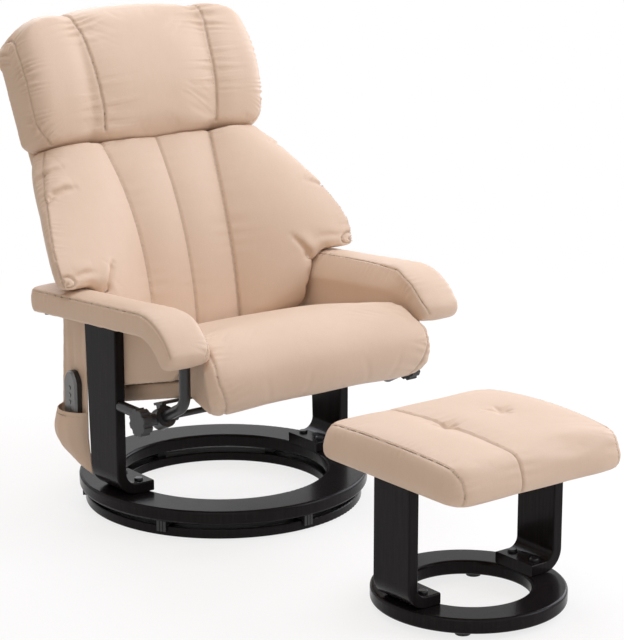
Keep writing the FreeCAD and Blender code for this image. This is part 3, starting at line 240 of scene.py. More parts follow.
def seam_distance(points, path, margin=0.1):
    """Each point's distance to a path, and the number of the path's nearest point."""
    far_away = 9.0
    pairs_at_once = 4000000
    distance = np.full(len(points), far_away)
    nearest = np.zeros(len(points), int)
    inside = (points > path.min(0) - margin) & (points < path.max(0) + margin)
    close = np.nonzero(inside.all(1))[0]
    for part in np.array_split(close, len(close) * len(path) // pairs_at_once + 1):
        some = points[part]
        square = (some ** 2).sum(1)[:, None] + (path ** 2).sum(1) - 2 * some @ path.T
        nearest[part] = square.argmin(1)
        distance[part] = np.linalg.norm(some - path[nearest[part]], axis=1)
    return distance, nearest


def beside(points, seams):
    """Which points are so near to a seam that the filling can't lift them."""
    near = np.zeros(len(points), bool)
    for seam in seams:
        near |= seam_distance(points, seam)[0] < SEAM_HOLD
    return near


def gathers(length, pitch, start):
    """Uneven little waves along a seam, from -1 to 1."""
    turn = 2 * math.pi * length / pitch
    wave = np.sin(turn + start + 1.9 * np.sin(turn * 0.23 + start * 2.1))
    swell = 0.55 + 0.45 * np.sin(turn * 0.11 + start * 1.3)
    return wave * swell


def paint_seam_shade(piece, strength):
    """Remember where the seams are, for the painted shade that the finish lays along them."""
    layer = piece.data.attributes.get("seam")
    if layer is None:
        layer = piece.data.attributes.new("seam", "FLOAT", "POINT")
    kept = np.zeros(len(piece.data.vertices), np.float32)
    layer.data.foreach_get("value", kept)
    layer.data.foreach_set("value", np.maximum(kept, strength).astype(np.float32))


def sewn(piece, path, depth, width, pucker=0.0, pitch=0.014, reach=0.01, start=0.0, span=(-0.2, 1.2)):
    """Draw the skin in along a seam and gather it beside a stretch of the seam."""
    fade = 0.1
    path = on_skin(piece, path, SEAM_STEP)
    points = points_of(piece)
    distance, nearest = seam_distance(points, path, reach * 5 + width * 3)
    drawn = distance < SEAM_GRIP
    points[drawn] = path[nearest[drawn]]
    distance[drawn] = 0.0
    run = run_of(path)
    share = run[nearest] / run[-1]
    window = np.clip((share - span[0]) / fade, 0, 1) * np.clip((span[1] - share) / fade, 0, 1)
    away = distance / reach
    move = pucker * gathers(run[nearest], pitch, start) * window * away * np.exp(1.0 - away)
    move -= depth * np.exp(-(distance / width) ** 2)
    set_points(piece, points + normals_of(piece) * move[:, None])
    # Painted shade along the seam, kept in the seam attribute for the finish
    paint_seam_shade(piece, np.exp(-(distance / SEAM_SHADE) ** 2))
    return path


def folded(piece, path, height, width, way=None):
    """A soft ridge, or a valley where height is negative, that fades at both ends of a path.

    It lifts the skin off itself, or moves a whole thin wall one way.
    """
    path = on_skin(piece, path)
    points = points_of(piece)
    distance, nearest = seam_distance(points, path, width * 4)
    run = run_of(path)
    fade = np.sin(math.pi * np.clip(run[nearest] / run[-1], 0.03, 0.97)) ** 0.6
    move = height * fade * np.exp(-(distance / width) ** 2)
    lift = normals_of(piece) if way is None else np.array(way)
    set_points(piece, points + lift * move[:, None])


def creased(piece, path, depth, width, aside):
    """A sharp fold: a narrow valley with a broad ridge beside it."""
    path = np.asarray(path, float)
    folded(piece, path + np.asarray(aside), depth * 0.7, width * 2.2)
    folded(piece, path, -depth, width)


def dimpled(piece, place, depth, width):
    """A round dent."""
    points = points_of(piece)
    distance = np.linalg.norm(points - np.asarray(place), axis=1)
    move = -depth * np.exp(-(distance / width) ** 2)
    set_points(piece, points + normals_of(piece) * move[:, None])


# Thread
thread_rows = {}


def stitched(piece, body, path, aside):
    """A row of stitches on the skin, beside a seam."""
    tree = tree_of(piece)
    centres = along(path, STITCH_PITCH)
    ways = np.gradient(centres, axis=0)
    for centre, way in zip(centres, ways):
        way = Vector(way).normalized()
        place, up = tree.find_nearest(Vector(centre))[:2]
        place, up = tree.find_nearest(place + way.cross(up) * aside)[:2]
        middle = place + up * STITCH_RADIUS * 0.5
        half = way * STITCH_LENGTH * 0.5
        thread_rows.setdefault(body, []).append((middle - half, middle + half, up))


def thread_pieces(material):
    """All the stitches of each body as one piece, each stitch a little spindle."""
    for body, rows in thread_rows.items():
        points = []
        faces = []
        for first, last, up in rows:
            way = (last - first).normalized()
            side = way.cross(up)
            start = len(points)
            points += [first, last]
            for share in (0.2, 0.8):
                for turn in range(STITCH_SIDES):
                    angle = 2 * math.pi * turn / STITCH_SIDES
                    ring = up * math.cos(angle) + side * math.sin(angle)
                    points.append(first.lerp(last, share) + ring * STITCH_RADIUS)
            for turn in range(STITCH_SIDES):
                here = start + 2 + turn
                there = start + 2 + (turn + 1) % STITCH_SIDES
                far_here = here + STITCH_SIDES
                far_there = there + STITCH_SIDES
                faces.append([start, there, here])
                faces.append([here, there, far_there, far_here])
                faces.append([start + 1, far_here, far_there])
        thread = new_piece("thread_" + body, points, faces)
        smooth_shaded(thread)
        covered(thread, material)
        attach(thread, body)


# Filling
def puffed(piece, held, cap):
    """Stuff a skin with air while some of it is held, and keep what it swells to, up to a cap."""
    start = points_of(piece)
    group = piece.vertex_groups.new(name="held")
    group.add([int(index) for index in np.nonzero(held)[0]], 1.0, "REPLACE")
    cloth = piece.modifiers.new("stuffing", "CLOTH")
    cloth.settings.quality = 3
    cloth.settings.mass = 0.3
    cloth.settings.tension_stiffness = 12.0
    cloth.settings.compression_stiffness = 12.0
    cloth.settings.shear_stiffness = 4.0
    cloth.settings.bending_stiffness = 0.4
    cloth.settings.use_pressure = True
    cloth.settings.uniform_pressure_force = FILLING_PRESSURE
    cloth.settings.vertex_group_mass = group.name
    cloth.settings.effector_weights.gravity = 0.0
    cloth.collision_settings.use_collision = False
    cloth.collision_settings.use_self_collision = False
    cloth.point_cache.frame_start = 1
    cloth.point_cache.frame_end = FILLING_FRAMES
    scene = bpy.context.scene
    for step in range(1, FILLING_FRAMES + 1):
        scene.frame_set(step)
    swollen = piece.evaluated_get(bpy.context.evaluated_depsgraph_get())
    ends = np.array([vertex.co for vertex in swollen.data.vertices], float)
    piece.modifiers.clear()
    piece.vertex_groups.clear()
    scene.frame_set(1)
    move = ends - start
    size = np.linalg.norm(move, axis=1, keepdims=True)
    set_points(piece, start + move * (cap * np.tanh(size / cap) / np.maximum(size, 1e-9)))


# Finishes
class Tone:
    """A socket of a finish; sums and products with it add the nodes that work them out."""

    def __init__(self, tree, socket=None):
        self.tree = tree
        self.socket = socket

    def make(self, kind, settings, sockets, output=0):
        node = self.tree.nodes.new(kind)
        for key, value in settings.items():
            setattr(node, key, value)
        for key, value in sockets.items():
            if isinstance(value, Tone):
                self.tree.links.new(value.socket, node.inputs[key])
            else:
                node.inputs[key].default_value = value
        return Tone(self.tree, node.outputs[output]) if node.outputs else None

    def sum(self, operation, first, second):
        return self.make("ShaderNodeMath", {"operation": operation}, {0: first, 1: second})

    def __add__(self, other):
        return self.sum("ADD", self, other)

    def __radd__(self, other):
        return self.sum("ADD", other, self)

    def __sub__(self, other):
        return self.sum("SUBTRACT", self, other)

    def __rsub__(self, other):
        return self.sum("SUBTRACT", other, self)

    def __mul__(self, other):
        return self.sum("MULTIPLY", self, other)

    def __rmul__(self, other):
        return self.sum("MULTIPLY", other, self)

    def blended(self, first, second):
        """A colour between two others, by this share."""
        return self.make("ShaderNodeMix", {"data_type": "RGBA"}, {0: self, 6: first, 7: second}, 2)


def started(name):
    """An empty finish, a first socket to make others from, and the place on the piece."""
    material = bpy.data.materials.new(name)
    material.use_nodes = True
    material.node_tree.nodes.clear()
    root = Tone(material.node_tree)
    return material, root, root.make("ShaderNodeTexCoord", {}, {}, "Object")


def finished(root, sockets):
    surface = root.make("ShaderNodeBsdfPrincipled", {}, sockets)
    root.make("ShaderNodeOutputMaterial", {}, {"Surface": surface})


def speckle(root, place, scale, detail=2.0, roughness=0.5):
    sockets = {"Vector": place, "Scale": scale, "Detail": detail, "Roughness": roughness}
    return root.make("ShaderNodeTexNoise", {}, sockets)


def stretched(root, place, scale):
    return root.make("ShaderNodeMapping", {}, {"Vector": place, "Scale": scale})


def bumped(root, height, strength, distance):
    sockets = {"Strength": strength, "Distance": distance, "Height": height}
    return root.make("ShaderNodeBump", {}, sockets)


def toned(colour, gain, lift=0.0):
    """A colour made paler or darker."""
    return tuple(min(part * gain + lift, 1.0) for part in colour[:3]) + (1.0,)


def leather(name, colour, shade):
    """Soft faux leather: pebbled grain, faint creases, a paler bloom, painted shade in the low parts
    of the grain and creases, and painted shade along the seams.
    """
    material, root, place = started(name)
    cells = {"Vector": place, "Scale": 620.0, "Smoothness": 0.6}
    pebble = root.make("ShaderNodeTexVoronoi", {"feature": "SMOOTH_F1"}, cells)
    pores = speckle(root, place, 1900.0, 1.0)
    broad = speckle(root, place, 7.0, 3.0, 0.6)
    crease = speckle(root, stretched(root, place, (60.0, 60.0, 16.0)), 1.0, 3.0, 0.7)
    # The seam attribute holds painted shade: the leather is coloured darker along each seam
    seam = root.make("ShaderNodeAttribute", {"attribute_name": "seam"}, {}, "Fac")
    # Random tone, partly painted shade: the low parts of the grain and creases are coloured darker
    tone_and_hollow_shade = broad * 0.55 + crease * 0.25 + pebble * 0.25
    body = tone_and_hollow_shade.blended(shade, colour)
    height = pebble * 0.7 + pores * 0.2 + crease * 1.1
    finished(root, {
        # Base Color: painted shade darkens the leather along the seams
        "Base Color": (seam * 0.40).blended(body, toned(shade, 0.5)),
        "Roughness": 0.43 + broad * 0.12 + pebble * 0.1,
        "Normal": bumped(root, height, 0.22, 0.0009),
        "Specular IOR Level": 0.32,
    })
    return material


def lacquer(name, colour):
    """Gloss lacquer over bent wood: faint grain, a thin clear coat, a little dust and rubbing."""
    material, root, place = started(name)
    grain = speckle(root, stretched(root, place, (220.0, 220.0, 14.0)), 1.0, 4.0, 0.65)
    smear = speckle(root, place, 9.0, 3.0, 0.6)
    dust = speckle(root, place, 420.0, 2.0)
    finished(root, {
        "Base Color": (grain * grain).blended(colour, toned(colour, 2.4, 0.004)),
        "Roughness": 0.13 + smear * 0.12 + dust * dust * 0.1,
        "Normal": bumped(root, grain, 0.06, 0.0004),
        "Specular IOR Level": 0.06,
        "Coat Weight": 0.05,
        "Coat Roughness": 0.06,
    })
    return material


def moulded(name, colour, rough, grain_scale=900.0):
    """Moulded plastic or rubber with a fine spark grain; also thread and bare board."""
    material, root, place = started(name)
    spark = speckle(root, place, grain_scale, 2.0)
    cloud = speckle(root, place, 30.0, 3.0, 0.6)
    finished(root, {
        "Base Color": (cloud * 0.5 + spark * 0.2).blended(colour, toned(colour, 1.5, 0.01)),
        "Roughness": rough - 0.08 + cloud * 0.16,
        "Normal": bumped(root, spark, 0.12, 0.0004),
    })
    return material


def coated_steel(name, colour, metal, rough):
    """Steel under a powder coat, or bare and plated."""
    material, root, place = started(name)
    peel = speckle(root, place, 380.0, 2.0)
    rub = speckle(root, place, 24.0, 4.0, 0.65)
    finished(root, {
        "Base Color": (rub * 0.6).blended(colour, toned(colour, 1.7, 0.012)),
        "Metallic": metal,
        "Roughness": rough - 0.06 + rub * 0.14,
        "Normal": bumped(root, peel, 0.1, 0.0004),
    })
    return material


def woven(name, colour):
    """Woven elastic webbing."""
    material, root, place = started(name)
    threads = {"Vector": place, "Scale": 420.0}
    warp = root.make("ShaderNodeTexWave", {"bands_direction": "X"}, threads)
    weft = root.make("ShaderNodeTexWave", {"bands_direction": "Y"}, threads)
    cross = warp * weft
    finished(root, {
        "Base Color": cross.blended(colour, toned(colour, 2.0, 0.02)),
        "Roughness": 0.7 + cross * 0.15,
        "Normal": bumped(root, cross, 0.4, 0.0006),
    })
    return material


BEIGE = leather("beige_leather", (0.752, 0.598, 0.476, 1.0), (0.648, 0.492, 0.368, 1.0))
THREAD = moulded("beige_thread", (0.56, 0.42, 0.32, 1.0), 0.6)

SLOT_FINISH = {
    "upholstery": BEIGE,
    "lacquered_wood": lacquer("black_lacquer", (0.0085, 0.0072, 0.0080, 1.0)),
    "plain_wood": moulded("bare_plywood", (0.42, 0.28, 0.16, 1.0), 0.6, 300.0),
    "black_steel": coated_steel("black_powder_coat", (0.012, 0.012, 0.013, 1.0), 0.0, 0.34),
    "bolt_steel": coated_steel("black_oxide", (0.02, 0.02, 0.022, 1.0), 0.6, 0.36),
    "bare_steel": coated_steel("zinc_plate", (0.5, 0.5, 0.5, 1.0), 1.0, 0.34),
    "black_plastic": moulded("black_plastic", (0.012, 0.012, 0.013, 1.0), 0.42),
    "grey_plastic": moulded("grey_plastic", (0.16, 0.17, 0.18, 1.0), 0.3),
    "glide_rubber": moulded("dark_rubber", (0.014, 0.014, 0.014, 1.0), 0.62, 500.0),
    "webbing": woven("black_webbing", (0.02, 0.018, 0.016, 1.0)),
    "circuit": moulded("green_board", (0.01, 0.07, 0.03, 1.0), 0.4),
}


def covered(piece, material):
    piece.data.materials.clear()
    piece.data.materials.append(material)


def upholstered(piece, body, nodes):
    """Give a soft piece its leather and its body, and hide the solids it stands for."""
    covered(piece, BEIGE)
    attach(piece, body)
    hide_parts(*nodes)


for subpart in frame["record"]["subparts"]:
    covered(NODES[subpart["node"]], SLOT_FINISH[subpart["material_slot"]])


# Back: two channels and two wings under one cover
BACK_SOLIDS = ["back_cushion", "wing_left", "wing_right"]
UP_BACK = from_back(0.0, 0.0, 0.012) - from_back(0.0, 0.0, 0.0)
WING_EDGE = np.array([
    (0.246, 0.048, 0.280), (0.260, 0.056, 0.261), (0.280, 0.073, 0.220), (0.299, 0.094, 0.178),
    (0.316, 0.116, 0.143), (0.337, 0.140, 0.082), (0.348, 0.154, 0.030), (0.349, 0.155, -0.002),
    (0.342, 0.150, -0.020),
])


def channel_edge(up):
    """Half the width of the two channels, which spread towards the headrest."""
    grow = np.clip((up - CUSHION_FOOT) / (CUSHION_TOP - CUSHION_FOOT), 0, 1) ** 3
    return 0.106 + 0.028 * grow


def lumbar_face(up):
    """How far the channels stand out of the back."""
    return 0.082 - 0.048 * ((up - 0.130) / (0.130 - CUSHION_FOOT)) ** 2


def back_path(side, places):
    """A path from places in the back's frame: across, out of the back and up it."""
    places = np.array(places)
    return from_back(side * places[:, 0], places[:, 1], places[:, 2])


def flared(points):
    """Points of the wings carried outwards, most at the rim and behind its seam."""
    local = to_back(points)
    rising = WING_EDGE[::-1]
    rim = np.interp(local[:, 2], rising[:, 2], rising[:, 0])
    front = np.interp(local[:, 2], rising[:, 2], rising[:, 1])
    near = eased(np.abs(local[:, 0]) / rim, 0.70, 1.0)
    behind = front - local[:, 1]
    swell = eased(behind, 0.0, 0.02) * eased(behind, 0.095, 0.05)
    moved = np.array(points)
    moved[:, 0] += np.sign(moved[:, 0]) * near * (0.018 + 0.009 * swell)
    return moved


def wing_path(side, places):
    return flared(back_path(side, places))


back_cover = stuffed_copy("back_cover", BACK_SOLIDS, COVER_MESH, 0.0012)
evened(back_cover, 4)

# Wing tips, rounded
points = points_of(back_cover)
width = np.abs(points[:, 0])
tip_low = points[width > 0.262, 2].min()
tip_share = eased(points[:, 2], tip_low + 0.055, tip_low + 0.015) * eased(width, 0.225, 0.262)
evened(back_cover, 70, tip_share)
points = points_of(back_cover)
points[:, 2] -= 0.004 * tip_share
set_points(back_cover, flared(points))

# Web that fills the corner between each wing and the lower back
points = points_of(back_cover)
facing = normals_of(back_cover)
local = to_back(points)
width = np.abs(local[:, 0])
height = local[:, 2]
outward = np.sign(points[:, 0])
inner_wall = (facing[:, 0] * outward > 0.3) & (width < 0.264) & (width > 0.2) & (height < -0.026)
underside = (facing[:, 2] < -0.3) & (width > 0.232) & (width < 0.3)
underside &= np.abs(height + 0.034) < 0.02
points[:, 0] += outward * np.where(inner_wall, 0.020 * eased(height, -0.105, -0.040), 0.0)
points[:, 2] -= np.where(underside, 0.040 * eased(width, 0.294, 0.246), 0.0)
set_points(back_cover, points)
from_corner = np.linalg.norm(np.stack([width - 0.252, height + 0.048], -1), axis=1)
evened(back_cover, 25, eased(from_corner, 0.070, 0.040))

# Seams of the back
heights = np.linspace(CUSHION_FOOT + 0.002, CUSHION_TOP - 0.002, 60)
middle_line = from_back(0 * heights, lumbar_face(heights), heights)
middle_seam = cast_on_skin(back_cover, middle_line, INTO_BACK)
side_seams = []
edge_seams = []
for side in SIDES:
    side_line = from_back(side * (channel_edge(heights) + 0.0005), lumbar_face(heights), heights)
    side_seams.append(cast_on_skin(back_cover, side_line, INTO_BACK))
    edge_seams.append(on_skin(back_cover, wing_path(side, WING_EDGE)))
points = points_of(back_cover)
held = to_back(points)[:, 1] < 0.008
held |= beside(points, [middle_seam] + side_seams + edge_seams)
puffed(back_cover, held, 0.013)
evened(back_cover, 2)
finer(back_cover)
sewn(back_cover, middle_seam, 0.0030, 0.0030, pucker=0.0003, pitch=0.03, reach=0.012, start=0.4)
for side, seam in zip(SIDES, side_seams):
    sewn(back_cover, seam, 0.0042, 0.0038, pucker=0.0005, pitch=0.034, reach=0.016, start=1.5 + side)
    sewn(
        back_cover, seam, 0.0, 0.0040,
        pucker=0.0022, pitch=0.016, reach=0.012, start=2.6 + side, span=(0.9, 1.2),
    )
for side, seam in zip(SIDES, edge_seams):
    sewn(back_cover, seam, 0.0020, 0.0028, pucker=0.0006, pitch=0.014, reach=0.008, start=3.0 + side)
    stitched(back_cover, "backrest", seam, side * 0.0042)

# Folds of the wings where the filling gives
UPPER_FOLD = [
    (0.284, 0.050, 0.218), (0.281, 0.070, 0.226), (0.268, 0.086, 0.231), (0.246, 0.090, 0.234),
]
MAIN_FOLD = [
    (0.311, 0.103, 0.160), (0.303, 0.110, 0.166), (0.287, 0.109, 0.177),
    (0.266, 0.109, 0.184), (0.246, 0.110, 0.184),
]
NOTCH_FOLD = [
    (0.330, 0.100, 0.106), (0.318, 0.126, 0.116), (0.304, 0.126, 0.124), (0.286, 0.122, 0.130),
]
INNER_FOLD = [
    (0.252, 0.118, -0.036), (0.247, 0.134, -0.022), (0.235, 0.136, -0.004), (0.222, 0.132, 0.016),
]
LOW_FOLD = [(0.318, 0.150, -0.004), (0.296, 0.150, 0.002), (0.275, 0.146, 0.002)]
creased(back_cover, wing_path(-1, UPPER_FOLD), 0.0062, 0.0060, UP_BACK)
creased(back_cover, wing_path(-1, MAIN_FOLD), 0.0085, 0.0068, UP_BACK * 1.2)
creased(back_cover, wing_path(1, NOTCH_FOLD), 0.0040, 0.0062, UP_BACK)
creased(back_cover, wing_path(1, UPPER_FOLD), 0.0035, 0.0050, UP_BACK)
for side, depth in ((-1, 0.0110), (1, 0.0070)):
    creased(back_cover, wing_path(side, INNER_FOLD), depth, 0.0070, np.array([side * 0.015, 0, 0]))
    creased(back_cover, wing_path(side, LOW_FOLD), depth * 0.3, 0.0060, UP_BACK)
    roll = []
    for turn in np.linspace(0.3, 2.3 * math.pi, 40):
        radius = 0.022 - 0.0075 * turn / math.pi
        roll.append((0.331 + radius * math.cos(turn), 0.160, -0.019 + radius * math.sin(turn)))
    sewn(back_cover, wing_path(side, roll), 0.0042, 0.0032)
upholstered(back_cover, "backrest", BACK_SOLIDS)

# Headrest: three puffed panels with gathered seams
LEFT_SEAM = [
    (-0.150, -0.020, 0.552), (-0.151, 0.030, 0.570), (-0.149, 0.076, 0.556),
    (-0.146, 0.096, 0.530), (-0.139, 0.103, 0.503), (-0.137, 0.107, 0.474),
    (-0.134, 0.108, 0.435), (-0.131, 0.104, 0.388), (-0.127, 0.094, 0.342),
    (-0.128, 0.078, 0.304),
]
RIGHT_SEAM = [
    (0.170, -0.020, 0.552), (0.170, 0.030, 0.570), (0.169, 0.080, 0.555), (0.168, 0.097, 0.538),
    (0.168, 0.102, 0.513), (0.163, 0.105, 0.473), (0.161, 0.104, 0.423), (0.160, 0.096, 0.375),
    (0.157, 0.082, 0.330), (0.156, 0.066, 0.300),
]
HEAD_END = [
    (0.262, -0.012, 0.516), (0.266, 0.020, 0.524), (0.273, 0.048, 0.519), (0.280, 0.068, 0.504),
    (0.285, 0.080, 0.463), (0.286, 0.085, 0.419), (0.286, 0.080, 0.373), (0.281, 0.072, 0.332),
    (0.264, 0.071, 0.300), (0.252, 0.060, 0.292),
]
headrest = stuffed_copy("headrest", ["headrest_pillow"], COVER_MESH)
evened(headrest, 6)
head_seams = [on_skin(headrest, back_path(1, places)) for places in (LEFT_SEAM, RIGHT_SEAM)]
end_seams = [on_skin(headrest, back_path(side, HEAD_END)) for side in SIDES]
points = points_of(headrest)
held = to_back(points)[:, 1] < 0.006
held |= beside(points, head_seams + end_seams)
puffed(headrest, held, 0.014)
evened(headrest, 2)
finer(headrest)
for number, seam in enumerate(head_seams):
    sewn(
        headrest, seam, 0.0036, 0.0030,
        pucker=0.0030, pitch=0.017, reach=0.014, start=0.7 + number, span=(0.12, 0.52),
    )
    sewn(
        headrest, seam, 0.0, 0.0040,
        pucker=0.0010, pitch=0.030, reach=0.016, start=2.7 + number, span=(0.5, 1.2),
    )
    stitched(headrest, "backrest", seam, SIDES[number] * 0.0048)
for number, seam in enumerate(end_seams):
    sewn(headrest, seam, 0.0028, 0.0030, pucker=0.0024, pitch=0.012, reach=0.009, start=3.1 + number)
for side in SIDES:
    for lift in (0.0, 0.016):
        fold = [
            (0.270, -0.006, 0.500 - lift), (0.283, 0.020, 0.498 - lift), (0.286, 0.048, 0.488 - lift),
        ]
        creased(headrest, back_path(side, fold), 0.0036, 0.0038, UP_BACK * 0.7)
upholstered(headrest, "backrest", ["headrest_pillow"])

# Seat: a crowned pad with a thick front roll, carried back under the back cushion
SEAT_END = [
    (0.240, 0.172, -0.020), (0.244, 0.060, -0.003), (0.244, -0.060, 0.000), (0.244, -0.170, -0.002),
    (0.244, -0.225, -0.022), (0.252, -0.256, -0.055), (0.254, -0.262, -0.090),
    (0.238, -0.250, -0.124), (0.220, -0.214, -0.146), (0.215, -0.170, -0.132),
]
seat = stuffed_copy("seat_pad", ["seat_cushion"], COVER_MESH)
evened(seat, 6)
points = points_of(seat)
local = to_seat(points)
rearward = from_seat(0.0, 1.0, 0.0) - SEAT_ORIGIN
points = points + np.outer(0.036 * eased(local[:, 1], 0.070, 0.140), rearward)
low_front = eased(-local[:, 1], 0.205, 0.245) * eased(-local[:, 2], 0.030, 0.066)
outward = np.sign(points[:, 0])
points[:, 0] += outward * 0.019 * low_front * eased(np.abs(points[:, 0]), 0.150, 0.245)
set_points(seat, points)
seat_seams = []
for side in SIDES:
    end_line = np.array([from_seat(side * x, back, up) for x, back, up in SEAT_END])
    seat_seams.append(on_skin(seat, end_line))
points = points_of(seat)
local = to_seat(points)
held = (local[:, 2] < -0.072) & (local[:, 1] > -0.155)
held |= (np.abs(local[:, 0]) > 0.2485) & (local[:, 1] > -0.2)
held |= beside(points, seat_seams)
puffed(seat, held, 0.013)
evened(seat, 2)
finer(seat)
for number, seam in enumerate(seat_seams):
    sewn(seat, seam, 0.0026, 0.0034, pucker=0.0010, pitch=0.018, reach=0.010, start=4.2 + number)
    stitched(seat, "seat", seam, -SIDES[number] * 0.0045)
for x, tilt in ((-0.150, 0.02), (-0.040, -0.015), (0.090, 0.02), (0.180, -0.02)):
    hang = [
        from_seat(x + tilt * share, -0.256 + 0.030 * share, -0.095 - 0.042 * share)
        for share in (0.0, 0.5, 1.0)
    ]
    folded(seat, hang, -0.0009, 0.008)
upholstered(seat, "seat", ["seat_cushion"])

# Arms: one cover over the padded arm and the side panel below it
ARM_INNER = np.array([
    (0.276, 0.150, 0.470), (0.280, 0.060, 0.476), (0.282, -0.057, 0.483), (0.279, -0.150, 0.489),
    (0.266, -0.236, 0.490), (0.260, -0.293, 0.468), (0.260, -0.325, 0.440), (0.272, -0.340, 0.414),
])


def arm_curve(x, radius, rear, sweep):
    """Side view of an arm at one radius, from its rear end to its nose."""
    run = [(rear - rear * step / 20, radius) for step in range(20)]
    turns = [math.radians(90 + sweep * step / 24) for step in range(25)]
    run += [(radius * math.cos(turn), radius * math.sin(turn)) for turn in turns]
    run = np.array(run)
    y = run[:, 0] * math.cos(ARM_SLOPE) + run[:, 1] * math.sin(ARM_SLOPE)
    z = -run[:, 0] * math.sin(ARM_SLOPE) + run[:, 1] * math.cos(ARM_SLOPE)
    return np.stack([np.full(len(run), x), y, z], -1) + ARM_BEND


def arm_level(points, height):
    """A height given at the arm's bend, falling to the rear as the arm does."""
    return height - ARM_FALL * (points[:, 1] - ARM_BEND[1])


for side, word in zip(SIDES, ("left", "right")):
    arm_solids = ["arm_pad_" + word, "side_panel_" + word]
    arm = stuffed_copy("arm_cover_" + word, arm_solids, PANEL_MESH)
    evened(arm, 5)
    points = points_of(arm)
    crest = arm_level(points, 0.490)
    inner_side = eased(np.abs(points[:, 0]), 0.300, 0.275)
    inner_side *= eased(points[:, 2], crest - 0.012, crest - 0.040)
    evened(arm, 60, inner_side * eased(points[:, 2], 0.340, 0.370))
    points = points_of(arm)
    lean_out = eased(points[:, 2], crest - 0.050, crest) * eased(np.abs(points[:, 0]), 0.310, 0.256)
    points[:, 0] += side * 0.022 * lean_out * eased(points[:, 1], -0.300, -0.200)
    set_points(arm, points)
    outer_line = arm_curve(side * 0.350, radius=0.1245, rear=0.378, sweep=64.0)
    seams = [on_skin(arm, outer_line), on_skin(arm, ARM_INNER * (side, 1, 1))]
    points = points_of(arm)
    held = points[:, 2] < arm_level(points, 0.435)
    held &= np.linalg.norm(points[:, 1:] - ARM_BEND[1:], axis=1) < 0.088
    held |= (points[:, 1] > ARM_BEND[1]) & (points[:, 2] < arm_level(points, 0.450))
    held |= beside(points, seams)
    puffed(arm, held, 0.007)
    evened(arm, 1)
    finer(arm)
    for number, seam in enumerate(seams):
        start = 5.0 + number + side
        sewn(arm, seam, 0.0015, 0.0026, pucker=0.0005, pitch=0.018, reach=0.008, start=start)
        stitched(arm, "swivel_frame", seam, side * SIDES[number] * 0.0045)
    upholstered(arm, "swivel_frame", arm_solids)

# Back of the backrest: two long seams and two across
shell = stuffed_copy("back_wrap", ["back_shell"], PANEL_MESH)
evened(shell, 4)
smooth_shaded(shell)
rear_heights = np.linspace(-0.110, 0.500, 60)
for side in SIDES:
    spread = 0.205 + 0.018 * eased(rear_heights, 0.0, 0.288)
    rear_line = from_back(side * spread, -0.2, rear_heights)
    rear_seam = cast_on_skin(shell, rear_line, -INTO_BACK)
    sewn(shell, rear_seam, 0.0022, 0.0040, pucker=0.0010, pitch=0.024, reach=0.012, start=6.0 + side)
    stitched(shell, "backrest", rear_seam, side * 0.005)
for height in (0.020, 0.288):
    cross_line = from_back(np.linspace(-0.200, 0.200, 30), -0.2, height)
    cross_seam = cast_on_skin(shell, cross_line, -INTO_BACK)
    start = 7.0 + height
    sewn(shell, cross_seam, 0.0022, 0.0040, pucker=0.0010, pitch=0.030, reach=0.012, start=start)
    stitched(shell, "backrest", cross_seam, 0.005)
upholstered(shell, "backrest", ["back_shell"])

# Upholstered seat tray
tray = stuffed_copy("seat_tray", ["seat_base"], PANEL_MESH)
evened(tray, 4)
smooth_shaded(tray)
upholstered(tray, "seat", ["seat_base"])

# Pocket: a hanging panel with a slack pouch and a turned hem
OUTWARD = (-1.0, 0.0, 0.0)
FOLD_SHARES = (0.0, 0.35, 0.7, 1.0)
pocket = stuffed_copy("hand_pocket", ["side_pocket"], POCKET_MESH)
evened(pocket, 6)
smooth_shaded(pocket)
for rear, drop, lean_y in ((0.092, 0.0, -0.012), (0.122, 0.008, 0.006), (0.150, 0.0, 0.014)):
    slack = [(-0.330, rear + lean_y * share, 0.196 - drop - 0.085 * share) for share in FOLD_SHARES]
    folded(pocket, slack, 0.0026, 0.008, OUTWARD)
for rear, lean_y in ((0.088, 0.006), (0.128, -0.010), (0.156, -0.004)):
    drape = [(-0.290, rear + lean_y * share, 0.410 - 0.170 * share) for share in FOLD_SHARES]
    folded(pocket, drape, -0.0020, 0.009, OUTWARD)
hem = [
    (-0.284 - 0.036 * math.sin(math.pi * share), 0.074 + 0.094 * share, 0.2035)
    for share in np.linspace(0.04, 0.96, 24)
]
hem_line = sewn(pocket, hem, 0.0008, 0.0018)
stitched(pocket, "swivel_frame", hem_line, 0.0025)
upholstered(pocket, "swivel_frame", ["side_pocket"])

# Footstool cushion: a panel seam, end panels and two tufts
STOOL_RUN = [
    (0.190, 0.276), (0.196, 0.300), (0.190, 0.322), (0.168, 0.338), (0.110, 0.345), (0.010, 0.346),
    (-0.050, 0.347), (-0.105, 0.346), (-0.160, 0.339), (-0.188, 0.322), (-0.196, 0.298),
    (-0.190, 0.274),
]
TUFTS = [(-0.051, -0.766, 0.346), (0.081, -0.765, 0.350)]
TUFT_SPOKES = [(0.3, 0.030), (1.5, 0.024), (2.5, 0.034), (3.7, 0.026), (4.8, 0.030), (5.6, 0.022)]


def stool_profile(x, ends, drop=0.0):
    """A seam over the stool at one width, drawn towards the middle by ends at front and rear."""
    return [
        (x * (1 - ends * abs(y) ** 3 / 0.19 ** 3), STOOL_ORIGIN[1] + y, z - drop)
        for y, z in STOOL_RUN
    ]


